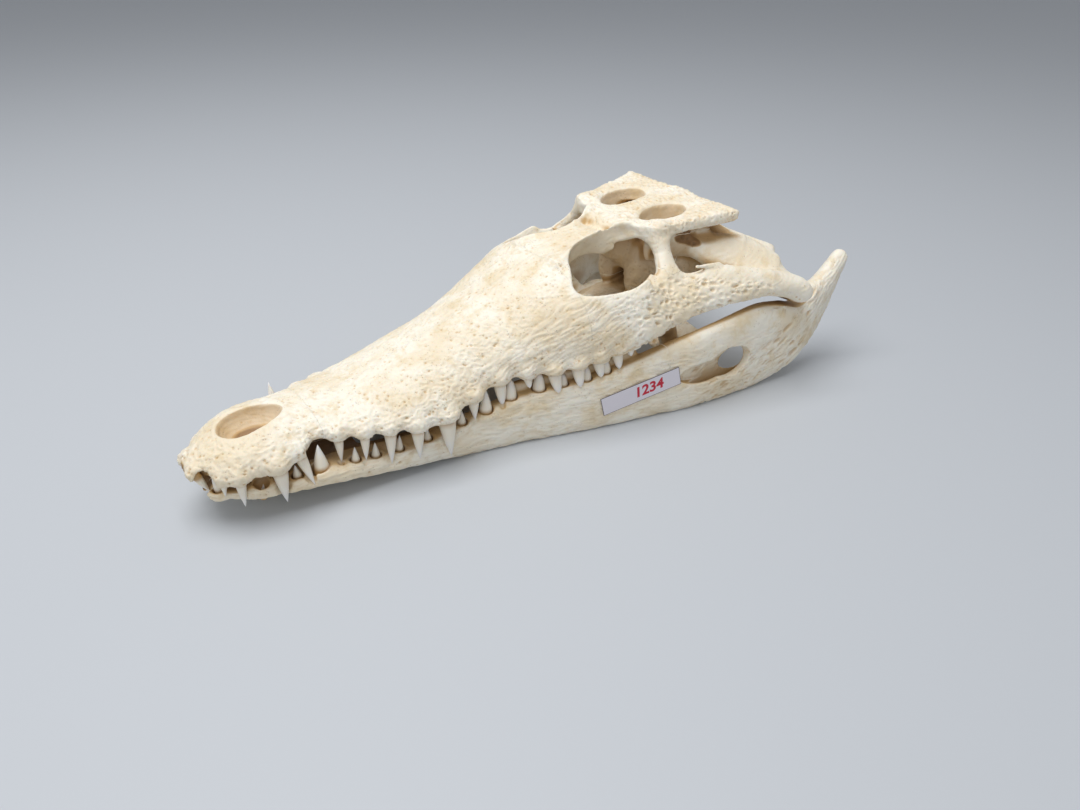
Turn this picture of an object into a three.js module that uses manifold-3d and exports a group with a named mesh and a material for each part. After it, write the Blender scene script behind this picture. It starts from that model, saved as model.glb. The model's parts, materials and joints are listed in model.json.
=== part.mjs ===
/**
 * Crocodile skull with its lower jaw, life size, lying on a flat surface with the jaws almost shut.
 *
 * Millimetres, +Z up. The snout points to -X and the skull's left side is -Y.
 * Each jaw is modelled whole as a field that is negative inside the bone. A closed surface is drawn
 * round the field, thinned to few triangles, given its teeth and parted into its named bones.
 * While it is modelled, x is the distance back from the snout tip and z the height over the ground.
 */
import * as THREE from 'three';
import { mergeVertices } from 'three/addons/utils/BufferGeometryUtils.js';
import Module from 'manifold-3d';

// ---------------------------------------------------------------- driving dimensions (mm)

const BONE_GAP = 0.3; // gap left between neighbouring bones
const CELL = 1.5; // grid step of the surfaces
const CRANIUM_TRIANGLES = 3080;
const JAW_TRIANGLES = 1440;

const FACE_END = 192;
const TIP_ROUND = 14; // length over which the snout tip is rounded

const ORBIT = { centre: [177, 24, 66.5], radii: [18, 16.3, 21.5], tilt: -0.6 };
const ORBIT_REAR = { centre: [184, 19, 74], radii: [12.5, 9.2, 10] };
const ORBIT_FRONT = { centre: [166, 28.5, 63], radii: [11, 7.2, 8] };
const NARIS = { centre: [23, 0, 34.5], radii: [9.3, 8.5, 9.5] };
const NARIS_REAR = { centre: [31, 0, 37], radii: [7.6, 5.4, 9] };
const TABLE = {
  front: 199, back: 241, frontHalf: 26.2, backHalf: 36.5, frontZ: 77.5, backZ: 80.8, thick: 6,
  lead: 8, taper: 1.7, // how far the front edge reaches forward, and how fast it narrows there
};
const TEMPORAL = { centre: [216, 13.2, 79.5], radii: [12, 7.6, 12] };
const CONDYLE = [261, 57.5, 45.5];

// Heights and half-widths along the snout: [distance from the tip, value]
const SNOUT_HALF_WIDTH = [
  [0, 9], [8, 15], [15, 18.5], [24, 21], [31, 21.3], [37, 19.5], [43, 17.5], [50, 20], [60, 24],
  [72, 27], [80, 29.5], [88, 31], [96, 30.5], [108, 29.3], [118, 29.8], [130, 33], [145, 38],
  [160, 42], [175, 45], [192, 48],
];
const SNOUT_TOP = [
  [0, 26.5], [8, 30], [17, 33.3], [28, 35], [40, 34.5], [50, 34.5], [65, 36], [75, 38.5], [85, 41.7],
  [95, 44.7], [110, 49.7], [123, 54.8], [134, 59.3], [148, 65.3], [161, 69.5], [175, 72.5], [192, 75],
];
const TOOTH_MARGIN = [
  [0, 19], [10, 18.5], [22, 19.5], [30, 20.5], [37, 22], [43, 24.5], [50, 24], [60, 23.5], [72, 22.5],
  [80, 21.5], [88, 21], [96, 23], [106, 26], [116, 29], [124, 30], [132, 29.5], [145, 30],
  [160, 32], [170, 34.5], [180, 37], [192, 41],
];
const SECTION_POWER = [[0, 2], [50, 1.9], [90, 1.85], [120, 1.95], [140, 2.3], [160, 2.7], [192, 2.8]];

// Lower jaw: middle of one side, lowest and highest line, and half thickness
const JAW_MIDDLE = [
  [5, 5], [14, 10], [28, 14.5], [45, 17.5], [60, 19], [80, 21], [98, 23], [113, 25.5], [129, 29.7],
  [145, 34.7], [162, 40], [188, 46.5], [203, 50.5], [221, 53.3], [240, 54.8], [262, 55.5], [278, 54],
  [292, 51.5], [304, 50],
];
const JAW_BOTTOM = [
  [5, 11.5], [14, 10], [28, 9], [45, 7.5], [60, 5.5], [80, 3], [98, 0.5], [113, -0.8], [130, -0.8],
  [180, -0.8], [230, -0.8], [245, -0.5], [262, 4], [274, 8.5], [285, 15], [295, 25], [304, 36],
];
const JAW_TOP = [
  [5, 14.5], [14, 14.5], [28, 14], [45, 15.5], [60, 13.5], [80, 13], [98, 15.7], [112, 19.5], [124, 22],
  [135, 23.3], [155, 24.5], [168, 27.5], [195, 34.5], [221, 39.5], [240, 42], [255, 39.6], [266, 36.8],
  [276, 42], [285, 42], [295, 46], [304, 51],
];
const JAW_HALF_THICKNESS = [
  [5, 4.5], [28, 5.5], [98, 5.2], [145, 5], [188, 5], [221, 5.2], [245, 5.5], [270, 7],
  [285, 5.5], [304, 4.5],
];

// Each tooth: distance from the snout tip, crown length, base radius, lean (positive leans back)
// and, where it isn't the usual one, spread
const UPPER_TEETH = [
  [3, 8, 1.8, 0.35], [9.5, 6, 1.6, -0.1], [14.5, 11, 2.1, -0.05], [28, 15, 3, 0],
  [36.5, 13, 2.4, 0.17, 0.45], [51.5, 10, 2, -0.05], [60.5, 11, 2.1, -0.1], [70, 14.5, 2.5, -0.1],
  [80, 13.5, 2.7, -0.05],
  [92.5, 17.5, 3.6, 0], [105.5, 10, 2.6, 0], [118, 10.3, 2.6, 0, 0.2], [129.5, 5, 2, 0, 0.4],
  [140.5, 9.3, 2.9, 0, 0.45], [150.5, 9, 2.9, -0.1, 0.45], [159.5, 8, 2.8, 0, 0.4], [168, 8, 2.6, 0, 0.35],
  [174, 5, 2.2, 0, 0.3],
];
const LOWER_TEETH = [
  [8.5, 6.5, 1.9, -0.25], [34.5, 5, 2, -0.1], [43.5, 10, 3, -0.05], [56.5, 6, 1.9, 0], [64.5, 6, 2, 0],
  [74, 6.2, 2, 0.1], [86, 5.2, 2, 0], [101, 6, 2.2, 0], [111.5, 10, 2.9, 0], [123, 8.5, 2.8, 0],
  [135, 8, 2.8, 0], [145, 5, 2.4, 0], [155, 6, 2.5, 0], [163.5, 6.7, 2.4, -0.1],
];
const LONG_FANG = [42.5, 18.5, 3.2, -0.1]; // the right fourth lower tooth, which stands out over the snout
const FANG_X = 43.5;
const FANG_NUMBER = 2; // its place in the row above
const INNER_ROW = 115; // from here back the lower teeth stand inside the upper ones
const TOOTH_ROOM = 1.15; // air round a tooth where it passes the other jaw
const ROOT_DEPTH = 3;
const TOOTH_SIDES = 5;

// ---------------------------------------------------------------- field tools

/** Smooth curve through [x, value] pairs; keeps its last answer, as the grid asks row by row. */
function profile(pairs) {
  const curve = new THREE.CubicInterpolant(pairs.map((p) => p[0]), pairs.map((p) => p[1]), 1);
  const [first, last] = [pairs[0][0], pairs.at(-1)[0]];
  let askedX = NaN;
  let value = 0;
  return (x) => {
    if (x !== askedX) {
      askedX = x;
      value = curve.evaluate(THREE.MathUtils.clamp(x, first, last))[0];
    }
    return value;
  };
}

/** Joins two fields with a fillet of about `reach`. */
function join(a, b, reach) {
  const h = Math.max(reach - Math.abs(a - b), 0) / reach;
  return Math.min(a, b) - (h * h * reach) / 4;
}

/** Takes field b out of field a and rounds the edge by about `reach`. */
function carve(a, b, reach) {
  return -join(-a, b, reach);
}

/** Ellipsoid, turned about the x axis by `tilt` (radians). */
function ellipsoid([cx, cy, cz], [rx, ry, rz], tilt = 0) {
  const [c, s] = [Math.cos(tilt), Math.sin(tilt)];
  const smallest = Math.min(rx, ry, rz);
  return (x, y, z) => {
    const [dy, dz] = [y - cy, z - cz];
    const [px, py, pz] = [(x - cx) / rx, (c * dy + s * dz) / ry, (-s * dy + c * dz) / rz];
    const near = Math.hypot(px, py, pz);
    if (near < 1e-6) return -smallest;
    return (near * (near - 1)) / Math.hypot(px / rx, py / ry, pz / rz);
  };
}

/**
 * Bar with an oval section, swept through stations { at, half: [across, thick], across }.
 * `across` is the direction in which the section is `half[0]` wide.
 */
function bar(stations, power = 2) {
  const reach = 14;
  const spans = stations.slice(1).map((end, i) => spanBetween(stations[i], end));
  const box = new THREE.Box3();
  stations.forEach((s) => box.expandByPoint(new THREE.Vector3(...s.at)));
  box.expandByScalar(reach + Math.max(...stations.map((s) => Math.max(...s.half))));
  const point = new THREE.Vector3();
  return (x, y, z) => {
    point.set(x, y, z);
    if (!box.containsPoint(point)) return box.distanceToPoint(point) + reach;
    return Math.min(...spans.map((span) => span(x, y, z, power)));
  };
}

/** Distance-like value to one span of a bar. */
function spanBetween(start, end) {
  const [a, b] = [new THREE.Vector3(...start.at), new THREE.Vector3(...end.at)];
  const along = b.clone().sub(a);
  const length = along.length();
  along.normalize();
  const frame = [start, end].map((station) => {
    const across = new THREE.Vector3(...(station.across ?? [0, 0, 1]));
    return across.addScaledVector(along, -across.dot(along)).normalize();
  });
  return (x, y, z, power) => {
    const [dx, dy, dz] = [x - a.x, y - a.y, z - a.z];
    const t = THREE.MathUtils.clamp((dx * along.x + dy * along.y + dz * along.z) / length, 0, 1);
    const [ux, uy, uz] = ['x', 'y', 'z'].map((k) => frame[0][k] + (frame[1][k] - frame[0][k]) * t);
    const wide = start.half[0] + (end.half[0] - start.half[0]) * t;
    const thin = start.half[1] + (end.half[1] - start.half[1]) * t;
    const [qx, qy, qz] = [dx - along.x * length * t, dy - along.y * length * t, dz - along.z * length * t];
    const u = (qx * ux + qy * uy + qz * uz) / Math.hypot(ux, uy, uz);
    const rest = Math.sqrt(Math.max(qx * qx + qy * qy + qz * qz - u * u, 0));
    return roundedSection(u, rest, wide, thin, power);
  };
}

/** Field of a flat section with half sizes a and b and a superellipse outline. */
function roundedSection(u, v, a, b, power) {
  const [p, q] = [Math.abs(u) / a, Math.abs(v) / b];
  const sum = p ** power + q ** power;
  if (sum < 1e-9) return -Math.min(a, b);
  const value = sum ** (1 / power);
  const slope = (value / sum) * Math.hypot(p ** (power - 1) / a, q ** (power - 1) / b);
  return (value - 1) / slope;
}

// ---------------------------------------------------------------- where the teeth stand

const snoutHalfWidth = profile(SNOUT_HALF_WIDTH);
const snoutTop = profile(SNOUT_TOP);
const toothMargin = profile(TOOTH_MARGIN);
const sectionPower = profile(SECTION_POWER);
const jawMiddle = profile(JAW_MIDDLE);
const jawBottom = profile(JAW_BOTTOM);
const jawTop = profile(JAW_TOP);
const jawHalfThickness = profile(JAW_HALF_THICKNESS);

/** Upper teeth of one side (-1 is left): they hang from the tooth margin and spread a little. */
function upperTeeth(side) {
  return UPPER_TEETH.map(([x, length, radius, lean, spread = 0.12]) => {
    const inset = 0.35 * radius + 1.3;
    const round = x < TIP_ROUND ? Math.sqrt(1 - ((TIP_ROUND - x) / TIP_ROUND) ** 2) : 1;
    const base = [x, side * Math.max(snoutHalfWidth(x) * round - inset, 2.5), toothMargin(x) + 1];
    return { base, direction: [lean, side * spread, -1], length, radius };
  });
}

/** Lower teeth of one side: they stand on the jaw's upper edge. */
function lowerTeeth(side) {
  const rows = side > 0 ? LOWER_TEETH.map((row) => (row[0] === FANG_X ? LONG_FANG : row)) : LOWER_TEETH;
  return rows.map(([x, length, radius, lean]) => {
    const outward = x === LONG_FANG[0] ? 0.22 : 0.05;
    const shift = x < INNER_ROW ? 1.5 : -0.3;
    const base = [x, side * (jawMiddle(x) + shift), jawTop(x) - 0.5];
    return { base, direction: [lean, side * outward, 1], length, radius };
  });
}

/** Field of the room that a tooth needs where it passes the other jaw. */
function roomFor({ base, direction, length, radius }) {
  const steps = new THREE.Vector3(...direction).setLength(length).toArray();
  const room = radius + TOOTH_ROOM;
  return bar([
    { at: base, half: [room, room] },
    { at: base.map((value, i) => value + 0.55 * steps[i]), half: [0.85 * room, 0.85 * room] },
    { at: base.map((value, i) => value + 1.05 * steps[i]), half: [TOOTH_ROOM + 0.4, TOOTH_ROOM + 0.4] },
  ]);
}

/** Takes the room of many teeth out of a jaw's field value. */
function clearOf(d, rooms, x, y, z) {
  return rooms.reduce((value, room) => carve(value, room(x, y, z), 1), d);
}

// ---------------------------------------------------------------- the skull's field

const lowerTeethRooms = [...lowerTeeth(1), lowerTeeth(-1)[FANG_NUMBER]]
  .map(({ base, direction, ...size }) => roomFor({
    base: [base[0], Math.abs(base[1]), base[2]],
    direction: [direction[0], Math.abs(direction[1]), direction[2]],
    ...size,
  }));

/** Snout and face from the tip to the cheeks, with a vaulted palate and a rounded tip. */
function face(x, y, z) {
  const tipRound = Math.sqrt(Math.max(1 - ((TIP_ROUND - x) / (TIP_ROUND + 0.5)) ** 2, 0.02));
  const round = x < TIP_ROUND ? tipRound : 1;
  const margin = toothMargin(x);
  const middle = margin + 3.5;
  const halfWidth = snoutHalfWidth(x) * round;
  const rise = (snoutTop(x) - middle) * (0.45 + 0.55 * round);
  const section = z > middle
    ? roundedSection(y, z - middle, halfWidth, rise, sectionPower(x))
    : roundedSection(y, z - middle, halfWidth, (middle - margin) * (0.6 + 0.4 * round), 3);
  const ends = Math.max(-x, x - FACE_END);
  return -join(-section, -ends, x > 100 ? 14 : 3);
}

/** Slab of the skull table, wider at the back, with squared corners. */
function table(x, y, z) {
  const along = (x - TABLE.front) / (TABLE.back - TABLE.front);
  const half = THREE.MathUtils.lerp(TABLE.frontHalf, TABLE.backHalf, along);
  const inward = 1 - y / half;
  const top = THREE.MathUtils.lerp(TABLE.frontZ, TABLE.backZ, along) - 1.5 * Math.max(inward, 0);
  const side = y - half + TABLE.taper * Math.max(TABLE.front - x, 0);
  const plan = Math.max(side, x - TABLE.back - 2.5 * inward, TABLE.front - TABLE.lead - x);
  const slab = Math.max(z - top, top - TABLE.thick - z);
  return -join(-plan, -slab, 3);
}

/** Field of several { centre, radii, tilt } ellipsoids that run into each other by about `reach`. */
function blended(shapes, reach) {
  const parts = shapes.map(({ centre, radii, tilt }) => ellipsoid(centre, radii, tilt));
  return (x, y, z) => parts.slice(1).reduce((d, part) => join(d, part(x, y, z), reach), parts[0](x, y, z));
}

const orbit = blended([ORBIT, ORBIT_REAR, ORBIT_FRONT], 5);
const orbitRim = bar([
  { at: [158, 14.5, 64.5], half: [4, 2.2] },
  { at: [170, 11.5, 69], half: [4, 2.4] },
  { at: [183, 10.5, 72.3], half: [4, 2.6] },
  { at: [196, 13, 73.5], half: [4, 2.8] },
]);
const orbitFloor = ellipsoid([170, 23, 36], [25, 10.5, 30]);
const interOrbit = ellipsoid([178, 0, 49], [24, 22, 15]);
const naris = blended([NARIS, NARIS_REAR], 6);
const temporal = ellipsoid(TEMPORAL.centre, TEMPORAL.radii);
const adductor = ellipsoid([212, 26, 50], [19, 14, 17]);
const adductorFloor = ellipsoid([222, 32, 38], [26, 13, 18], 0.2);
const orbitRear = ellipsoid([190, 20, 57], [8, 14, 9.5]);
const innerWall = bar([
  { at: [206, 9, 52], half: [13, 5] },
  { at: [226, 14, 50], half: [14, 6] },
  { at: [246, 22, 50], half: [12, 6] },
]);
const templeWall = bar([{ at: [203, 20, 68], half: [8, 2.5] }, { at: [232, 23.5, 66], half: [8, 3] }]);
const palateVault = bar([
  { at: [20, 0, 12], half: [9, 8.5], across: [0, 1, 0] },
  { at: [43, 0, 16], half: [9, 9], across: [0, 1, 0] },
  { at: [90, 0, 13], half: [21, 10.5], across: [0, 1, 0] },
  { at: [125, 0, 20], half: [20, 11], across: [0, 1, 0] },
]);
const temporalWindow = ellipsoid([211, 35.5, 66], [9.5, 12, 7.5]);
const earRecess = ellipsoid([227, 34, 69.5], [9, 9, 3.6]);
const cheekBar = bar([
  { at: [150, 33, 45], half: [7, 3], across: [0, -0.5, 0.85] },
  { at: [178, 41, 48], half: [11, 4.2], across: [0, -0.6, 0.8] },
  { at: [204, 42.5, 52], half: [10.5, 3.8], across: [0, -0.65, 0.76] },
  { at: [224, 49, 54], half: [8.5, 3.6], across: [-0.1, -0.6, 0.78] },
  { at: [243, 56, 52.3], half: [5.8, 4], across: [-0.2, -0.55, 0.8] },
  { at: [258, 60, 47], half: [4.5, 4.5], across: [0, -0.5, 0.85] },
]);
const postorbitalBar = bar([
  { at: [203, 24, 73.5], half: [5, 4.5], across: [1, 0, 0] },
  { at: [202, 29.3, 66.5], half: [4, 3.4], across: [1, 0, 0] },
  { at: [200, 36, 59], half: [5.5, 3.6], across: [1, 0, 0] },
]);
const quadrate = bar([
  { at: [226, 25, 64], half: [6, 4.5], across: [-0.3, 0.7, -0.65] },
  { at: [240, 39, 58.5], half: [13, 4], across: [-0.36, 0.66, -0.66] },
  { at: [252, 49.5, 52.5], half: [11, 4.4], across: [-0.4, 0.7, -0.6] },
  { at: [CONDYLE[0] - 2, CONDYLE[1] - 2, CONDYLE[2] + 1], half: [8.5, 5], across: [-0.15, 0.95, 0.1] },
]);
const condyle = bar([
  { at: [CONDYLE[0] - 1, CONDYLE[1] - 7, CONDYLE[2] - 1.5], half: [5, 4.6], across: [0, 0, 1] },
  { at: [CONDYLE[0], CONDYLE[1] + 4, CONDYLE[2] - 0.5], half: [5, 4.6], across: [0, 0, 1] },
]);
const paroccipital = bar([
  { at: [238, 6, 64], half: [10, 4.5], across: [0, 0, 1] },
  { at: [246, 26, 61], half: [6.5, 3.6], across: [0, 0, 1] },
  { at: [260, 40, 57.5], half: [4, 3], across: [0, 0, 1] },
]);
const braincase = bar([
  { at: [196, 0, 66], half: [8, 6], across: [0, 0, 1] },
  { at: [212, 0, 62], half: [15, 9], across: [0, 0, 1] },
  { at: [238, 0, 59], half: [19, 13], across: [0, 0, 1] },
  { at: [243, 0, 58], half: [17, 13], across: [0, 0, 1] },
]);
const occipitalCondyle = ellipsoid([249, 0, 58], [6.5, 5.5, 5]);
const foramenMagnum = ellipsoid([251, 0, 67], [7, 5, 4]);
const palatine = bar([
  { at: [118, 0, 34], half: [13, 5], across: [0, 1, 0] },
  { at: [150, 0, 34], half: [9.5, 4.5], across: [0, 1, 0] },
  { at: [185, 0, 33], half: [9.5, 4.5], across: [0, 1, 0] },
  { at: [208, 0, 34], half: [16, 5], across: [0, 1, 0] },
  { at: [228, 0, 40], half: [10, 6], across: [0, 1, 0] },
]);
const prefrontalPillar = bar([
  { at: [157, 10.5, 66], half: [4.5, 3], across: [0, 1, 0] },
  { at: [158, 8, 36], half: [3.5, 2.8], across: [0, 1, 0] },
]);
const pterygoidWing = bar([
  { at: [206, 5, 34], half: [12, 4], across: [1, 0, 0] },
  { at: [210, 22, 28], half: [12, 2.8], across: [1, 0, 0.15] },
  { at: [214, 36, 21.5], half: [11, 3], across: [1, 0, 0.35] },
]);
const ectopterygoid = bar([
  { at: [207, 34, 24], half: [4.5, 3], across: [1, 0, 0] },
  { at: [200, 38, 34], half: [4.5, 3.2], across: [1, 0, 0] },
  { at: [190, 41, 44], half: [8, 3.5], across: [1, 0, 0] },
]);

/** The whole upper skull; `y` is the distance from the middle plane. */
function cranium(x, sideY, z) {
  const y = Math.abs(sideY);
  let d = face(x, y, z);
  d = carve(d, palateVault(x, y, z), 3);
  d = carve(d, interOrbit(x, y, z), 6);
  d = join(d, table(x, y, z), 4);
  d = join(d, braincase(x, y, z), 6);
  d = carve(d, orbitFloor(x, y, z), 3);
  d = carve(d, adductor(x, y, z), 3);
  d = carve(d, adductorFloor(x, y, z), 3);
  d = carve(d, orbitRear(x, y, z), 3);
  d = join(d, innerWall(x, y, z), 4);
  d = join(d, templeWall(x, y, z), 2);
  d = join(d, cheekBar(x, y, z), 5);
  d = join(d, quadrate(x, y, z), 4);
  d = join(d, condyle(x, y, z), 3);
  d = join(d, paroccipital(x, y, z), 3);
  d = join(d, palatine(x, y, z), 4);
  d = join(d, prefrontalPillar(x, y, z), 3);
  d = join(d, pterygoidWing(x, y, z), 4);
  d = join(d, ectopterygoid(x, y, z), 4);
  d = join(d, occipitalCondyle(x, y, z), 2);
  d = carve(d, temporalWindow(x, y, z), 2);
  d = join(d, postorbitalBar(x, y, z), 4);
  d = join(d, orbitRim(x, y, z), 3);
  d = carve(d, orbit(x, y, z), 2);
  d = carve(d, naris(x, y, z), 2);
  d = carve(d, temporal(x, y, z), 2);
  d = carve(d, earRecess(x, y, z), 1.5);
  d = carve(d, foramenMagnum(x, y, z), 1.5);
  return x < 175 && z < 42 ? clearOf(d, lowerTeethRooms, x, y, z) : d;
}

// ---------------------------------------------------------------- the lower jaw's field

const upperTeethRooms = upperTeeth(1).map(roomFor);
const JAW_FRONT = 4;
const JAW_BACK = 296;

const windowFloor = 50.8; // depth of the jaw window from the middle plane
const windowFront = ellipsoid([210, 60, 18], [15, 30, 5.3]);
const windowRear = ellipsoid([222, 60, 19.8], [11.5, 30, 7.4]);
const windowInside = ellipsoid([236, 48, 15.8], [13.5, 4.5, 7]);
const chin = bar([
  { at: [11, 0, 11.8], half: [7, 3.2], across: [0, 1, 0] },
  { at: [26, 0, 11.5], half: [13, 3.6], across: [0, 1, 0] },
  { at: [45, 0, 10.3], half: [16, 4], across: [0, 1, 0] },
  { at: [60, 0, 9], half: [16, 4], across: [0, 1, 0] },
]);
const innerShelf = bar([
  { at: [52, 11.5, 9.5], half: [4.6, 4.5] },
  { at: [80, 15.5, 8.5], half: [5, 4.8] },
  { at: [114, 20.5, 9], half: [5, 4] },
]);
const innerRidge = bar([
  { at: [126, 24.8, 23], half: [3, 2] },
  { at: [136, 27.4, 24.8], half: [3, 2] },
  { at: [150, 31.8, 26.3], half: [3, 2] },
  { at: [165, 36.6, 28.8], half: [3, 2] },
  { at: [178, 40, 30.5], half: [3, 2] },
]);
const retroarticular = bar([
  { at: [283, 53, 34], half: [7.5, 5], across: [0, 0, 1] },
  { at: [295, 51.5, 40], half: [7, 4.5], across: [-0.3, 0, 1] },
  { at: [303, 50, 48], half: [4.5, 4], across: [-1, 0, 1] },
]);

/** One whole side of the lower jaw, without teeth. */
function ramus(x, y, z) {
  const [bottom, top] = [jawBottom(x), jawTop(x)];
  const middle = (bottom + top) / 2;
  const half = jawHalfThickness(x);
  let d = roundedSection(z - middle, y - jawMiddle(x), (top - bottom) / 2, half, 3);
  d = -join(-d, -Math.max(JAW_FRONT - x, x - JAW_BACK), 4);
  d = join(d, retroarticular(x, y, z), 3);
  d = carve(d, Math.max(windowFront(x, y, z), windowFloor - y), 1.5);
  d = carve(d, Math.max(windowRear(x, y, z), windowFloor - y), 1.5);
  return carve(d, windowInside(x, y, z), 1.5);
}

/** Both sides, grown together at the chin. */
function mandible(x, sideY, z) {
  const y = Math.abs(sideY);
  let d = join(ramus(x, y, z), chin(x, y, z), 4);
  d = join(d, innerShelf(x, y, z), 4);
  d = join(d, innerRidge(x, y, z), 2);
  return clearOf(d, upperTeethRooms, x, y, z);
}

// ---------------------------------------------------------------- from a field to few triangles

/** The six tetrahedra of a grid cube, as corner numbers (bit 0 is x, bit 1 y, bit 2 z). */
const CUBE_TETRAHEDRA = [
  [0, 1, 3, 7], [0, 3, 2, 7], [0, 2, 6, 7], [0, 6, 4, 7], [0, 4, 5, 7], [0, 5, 1, 7],
];

/** Closed surface round the inside of a field, as { points, triangles }. */
function surfaceOf(field, low, high, cell) {
  const count = low.map((value, axis) => Math.ceil((high[axis] - value) / cell) + 1);
  const [nx, ny, nz] = count;
  const values = new Float64Array(nx * ny * nz);
  for (let i = 0, n = 0; i < nx; i += 1) {
    for (let j = 0; j < ny; j += 1) {
      for (let k = 0; k < nz; k += 1, n += 1) {
        const value = field(low[0] + i * cell, low[1] + j * cell, low[2] + k * cell);
        values[n] = Math.abs(value) < 0.02 ? 0.02 * (value < 0 ? -1 : 1) : value;
      }
    }
  }
  const points = [];
  const triangles = [];
  const madeOnEdge = new Map();
  const place = (n) => [
    low[0] + Math.floor(n / (ny * nz)) * cell,
    low[1] + (Math.floor(n / nz) % ny) * cell,
    low[2] + (n % nz) * cell,
  ];
  const crossing = (inside, outside) => {
    const key = inside < outside ? inside * values.length + outside : outside * values.length + inside;
    if (!madeOnEdge.has(key)) {
      const t = THREE.MathUtils.clamp(values[inside] / (values[inside] - values[outside]), 0.15, 0.85);
      const [a, b] = [place(inside), place(outside)];
      madeOnEdge.set(key, points.length);
      points.push(a.map((value, axis) => value + (b[axis] - value) * t));
    }
    return madeOnEdge.get(key);
  };
  const addFacing = (a, b, c, from, to) => {
    const [pa, pb, pc, start, end] = [points[a], points[b], points[c], place(from), place(to)];
    const out = end.map((value, axis) => value - start[axis]);
    const [u, v] = [pb, pc].map((p) => p.map((value, axis) => value - pa[axis]));
    const facing = (u[1] * v[2] - u[2] * v[1]) * out[0] + (u[2] * v[0] - u[0] * v[2]) * out[1]
      + (u[0] * v[1] - u[1] * v[0]) * out[2];
    triangles.push(facing > 0 ? [a, b, c] : [a, c, b]);
  };
  const offset = [0, 1, 2, 3, 4, 5, 6, 7].map((c) => (c & 1) * ny * nz + ((c >> 1) & 1) * nz + (c >> 2));
  for (let i = 0; i < nx - 1; i += 1) {
    for (let j = 0; j < ny - 1; j += 1) {
      for (let k = 0; k < nz - 1; k += 1) {
        const base = (i * ny + j) * nz + k;
        const insideCorners = offset.filter((o) => values[base + o] < 0).length;
        if (insideCorners === 0 || insideCorners === 8) continue;
        for (const tetrahedron of CUBE_TETRAHEDRA) {
          const corners = tetrahedron.map((c) => base + offset[c]);
          const inside = corners.filter((n) => values[n] < 0);
          const outside = corners.filter((n) => values[n] >= 0);
          if (inside.length === 1) {
            const [a, b, c] = outside.map((n) => crossing(inside[0], n));
            addFacing(a, b, c, inside[0], outside[0]);
          } else if (inside.length === 3) {
            const [a, b, c] = inside.map((n) => crossing(n, outside[0]));
            addFacing(a, b, c, inside[0], outside[0]);
          } else if (inside.length === 2) {
            const [a, b] = outside.map((n) => crossing(inside[0], n));
            const [c, d] = outside.map((n) => crossing(inside[1], n));
            addFacing(a, b, d, inside[0], outside[0]);
            addFacing(a, d, c, inside[1], outside[1]);
          }
        }
      }
    }
  }
  return { points, triangles };
}

/** Smallest-first queue of [cost, ...] entries. */
class Queue {
  heap = [];

  push(entry) {
    const { heap } = this;
    let at = heap.length;
    heap.push(entry);
    while (at > 0) {
      const parent = (at - 1) >> 1;
      if (heap[parent][0] <= entry[0]) break;
      heap[at] = heap[parent];
      at = parent;
    }
    heap[at] = entry;
  }

  pop() {
    const { heap } = this;
    const first = heap[0];
    const last = heap.pop();
    if (heap.length === 0) return first;
    let at = 0;
    for (;;) {
      let child = 2 * at + 1;
      if (child >= heap.length) break;
      if (child + 1 < heap.length && heap[child + 1][0] < heap[child][0]) child += 1;
      if (heap[child][0] >= last[0]) break;
      heap[at] = heap[child];
      at = child;
    }
    heap[at] = last;
    return first;
  }
}

const cross = (u, v) => [u[1] * v[2] - u[2] * v[1], u[2] * v[0] - u[0] * v[2], u[0] * v[1] - u[1] * v[0]];
const minus = (a, b) => [a[0] - b[0], a[1] - b[1], a[2] - b[2]];
const dot = (a, b) => a[0] * b[0] + a[1] * b[1] + a[2] * b[2];

/** Squared distance to a plane, summed, as the ten numbers of a symmetric 4 by 4 matrix. */
function planeQuadric(n, offset, weight) {
  const [a, b, c, d] = [...n, offset];
  return [a * a, a * b, a * c, a * d, b * b, b * c, b * d, c * c, c * d, d * d].map((v) => v * weight);
}

/** Value of a quadric at a point. */
function quadricAt(q, [x, y, z]) {
  return q[0] * x * x + 2 * q[1] * x * y + 2 * q[2] * x * z + 2 * q[3] * x + q[4] * y * y
    + 2 * q[5] * y * z + 2 * q[6] * y + q[7] * z * z + 2 * q[8] * z + q[9];
}

/** Point where a quadric is least, or null where that isn't well defined. */
function quadricBest(q) {
  const rows = [[q[0], q[1], q[2]], [q[1], q[4], q[5]], [q[2], q[5], q[7]]];
  const right = [-q[3], -q[6], -q[8]];
  const determinant = dot(rows[0], cross(rows[1], rows[2]));
  const size = q[0] + q[4] + q[7];
  if (Math.abs(determinant) < 1e-4 * size ** 3) return null;
  const columns = [cross(rows[1], rows[2]), cross(rows[2], rows[0]), cross(rows[0], rows[1])];
  return [0, 1, 2].map((i) => dot(right, [columns[0][i], columns[1][i], columns[2][i]]) / determinant);
}

/** Unit normal of a triangle, and its area against its longest side squared. */
function shapeOf([a, b, c]) {
  const sides = [minus(b, a), minus(c, b), minus(a, c)];
  const normal = cross(sides[0], sides[1]);
  const area = Math.hypot(...normal) || 1e-12;
  const longest = Math.max(...sides.map((side) => dot(side, side))) || 1e-12;
  return { normal: normal.map((v) => v / area), fullness: area / longest };
}

// An edge that can't be joined yet is tried again later, as if it cost more.
const RETRY_GROWTH = 1.6;
const RETRY_STEP = 0.002;
const RETRY_LIMIT = 1000;

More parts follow.
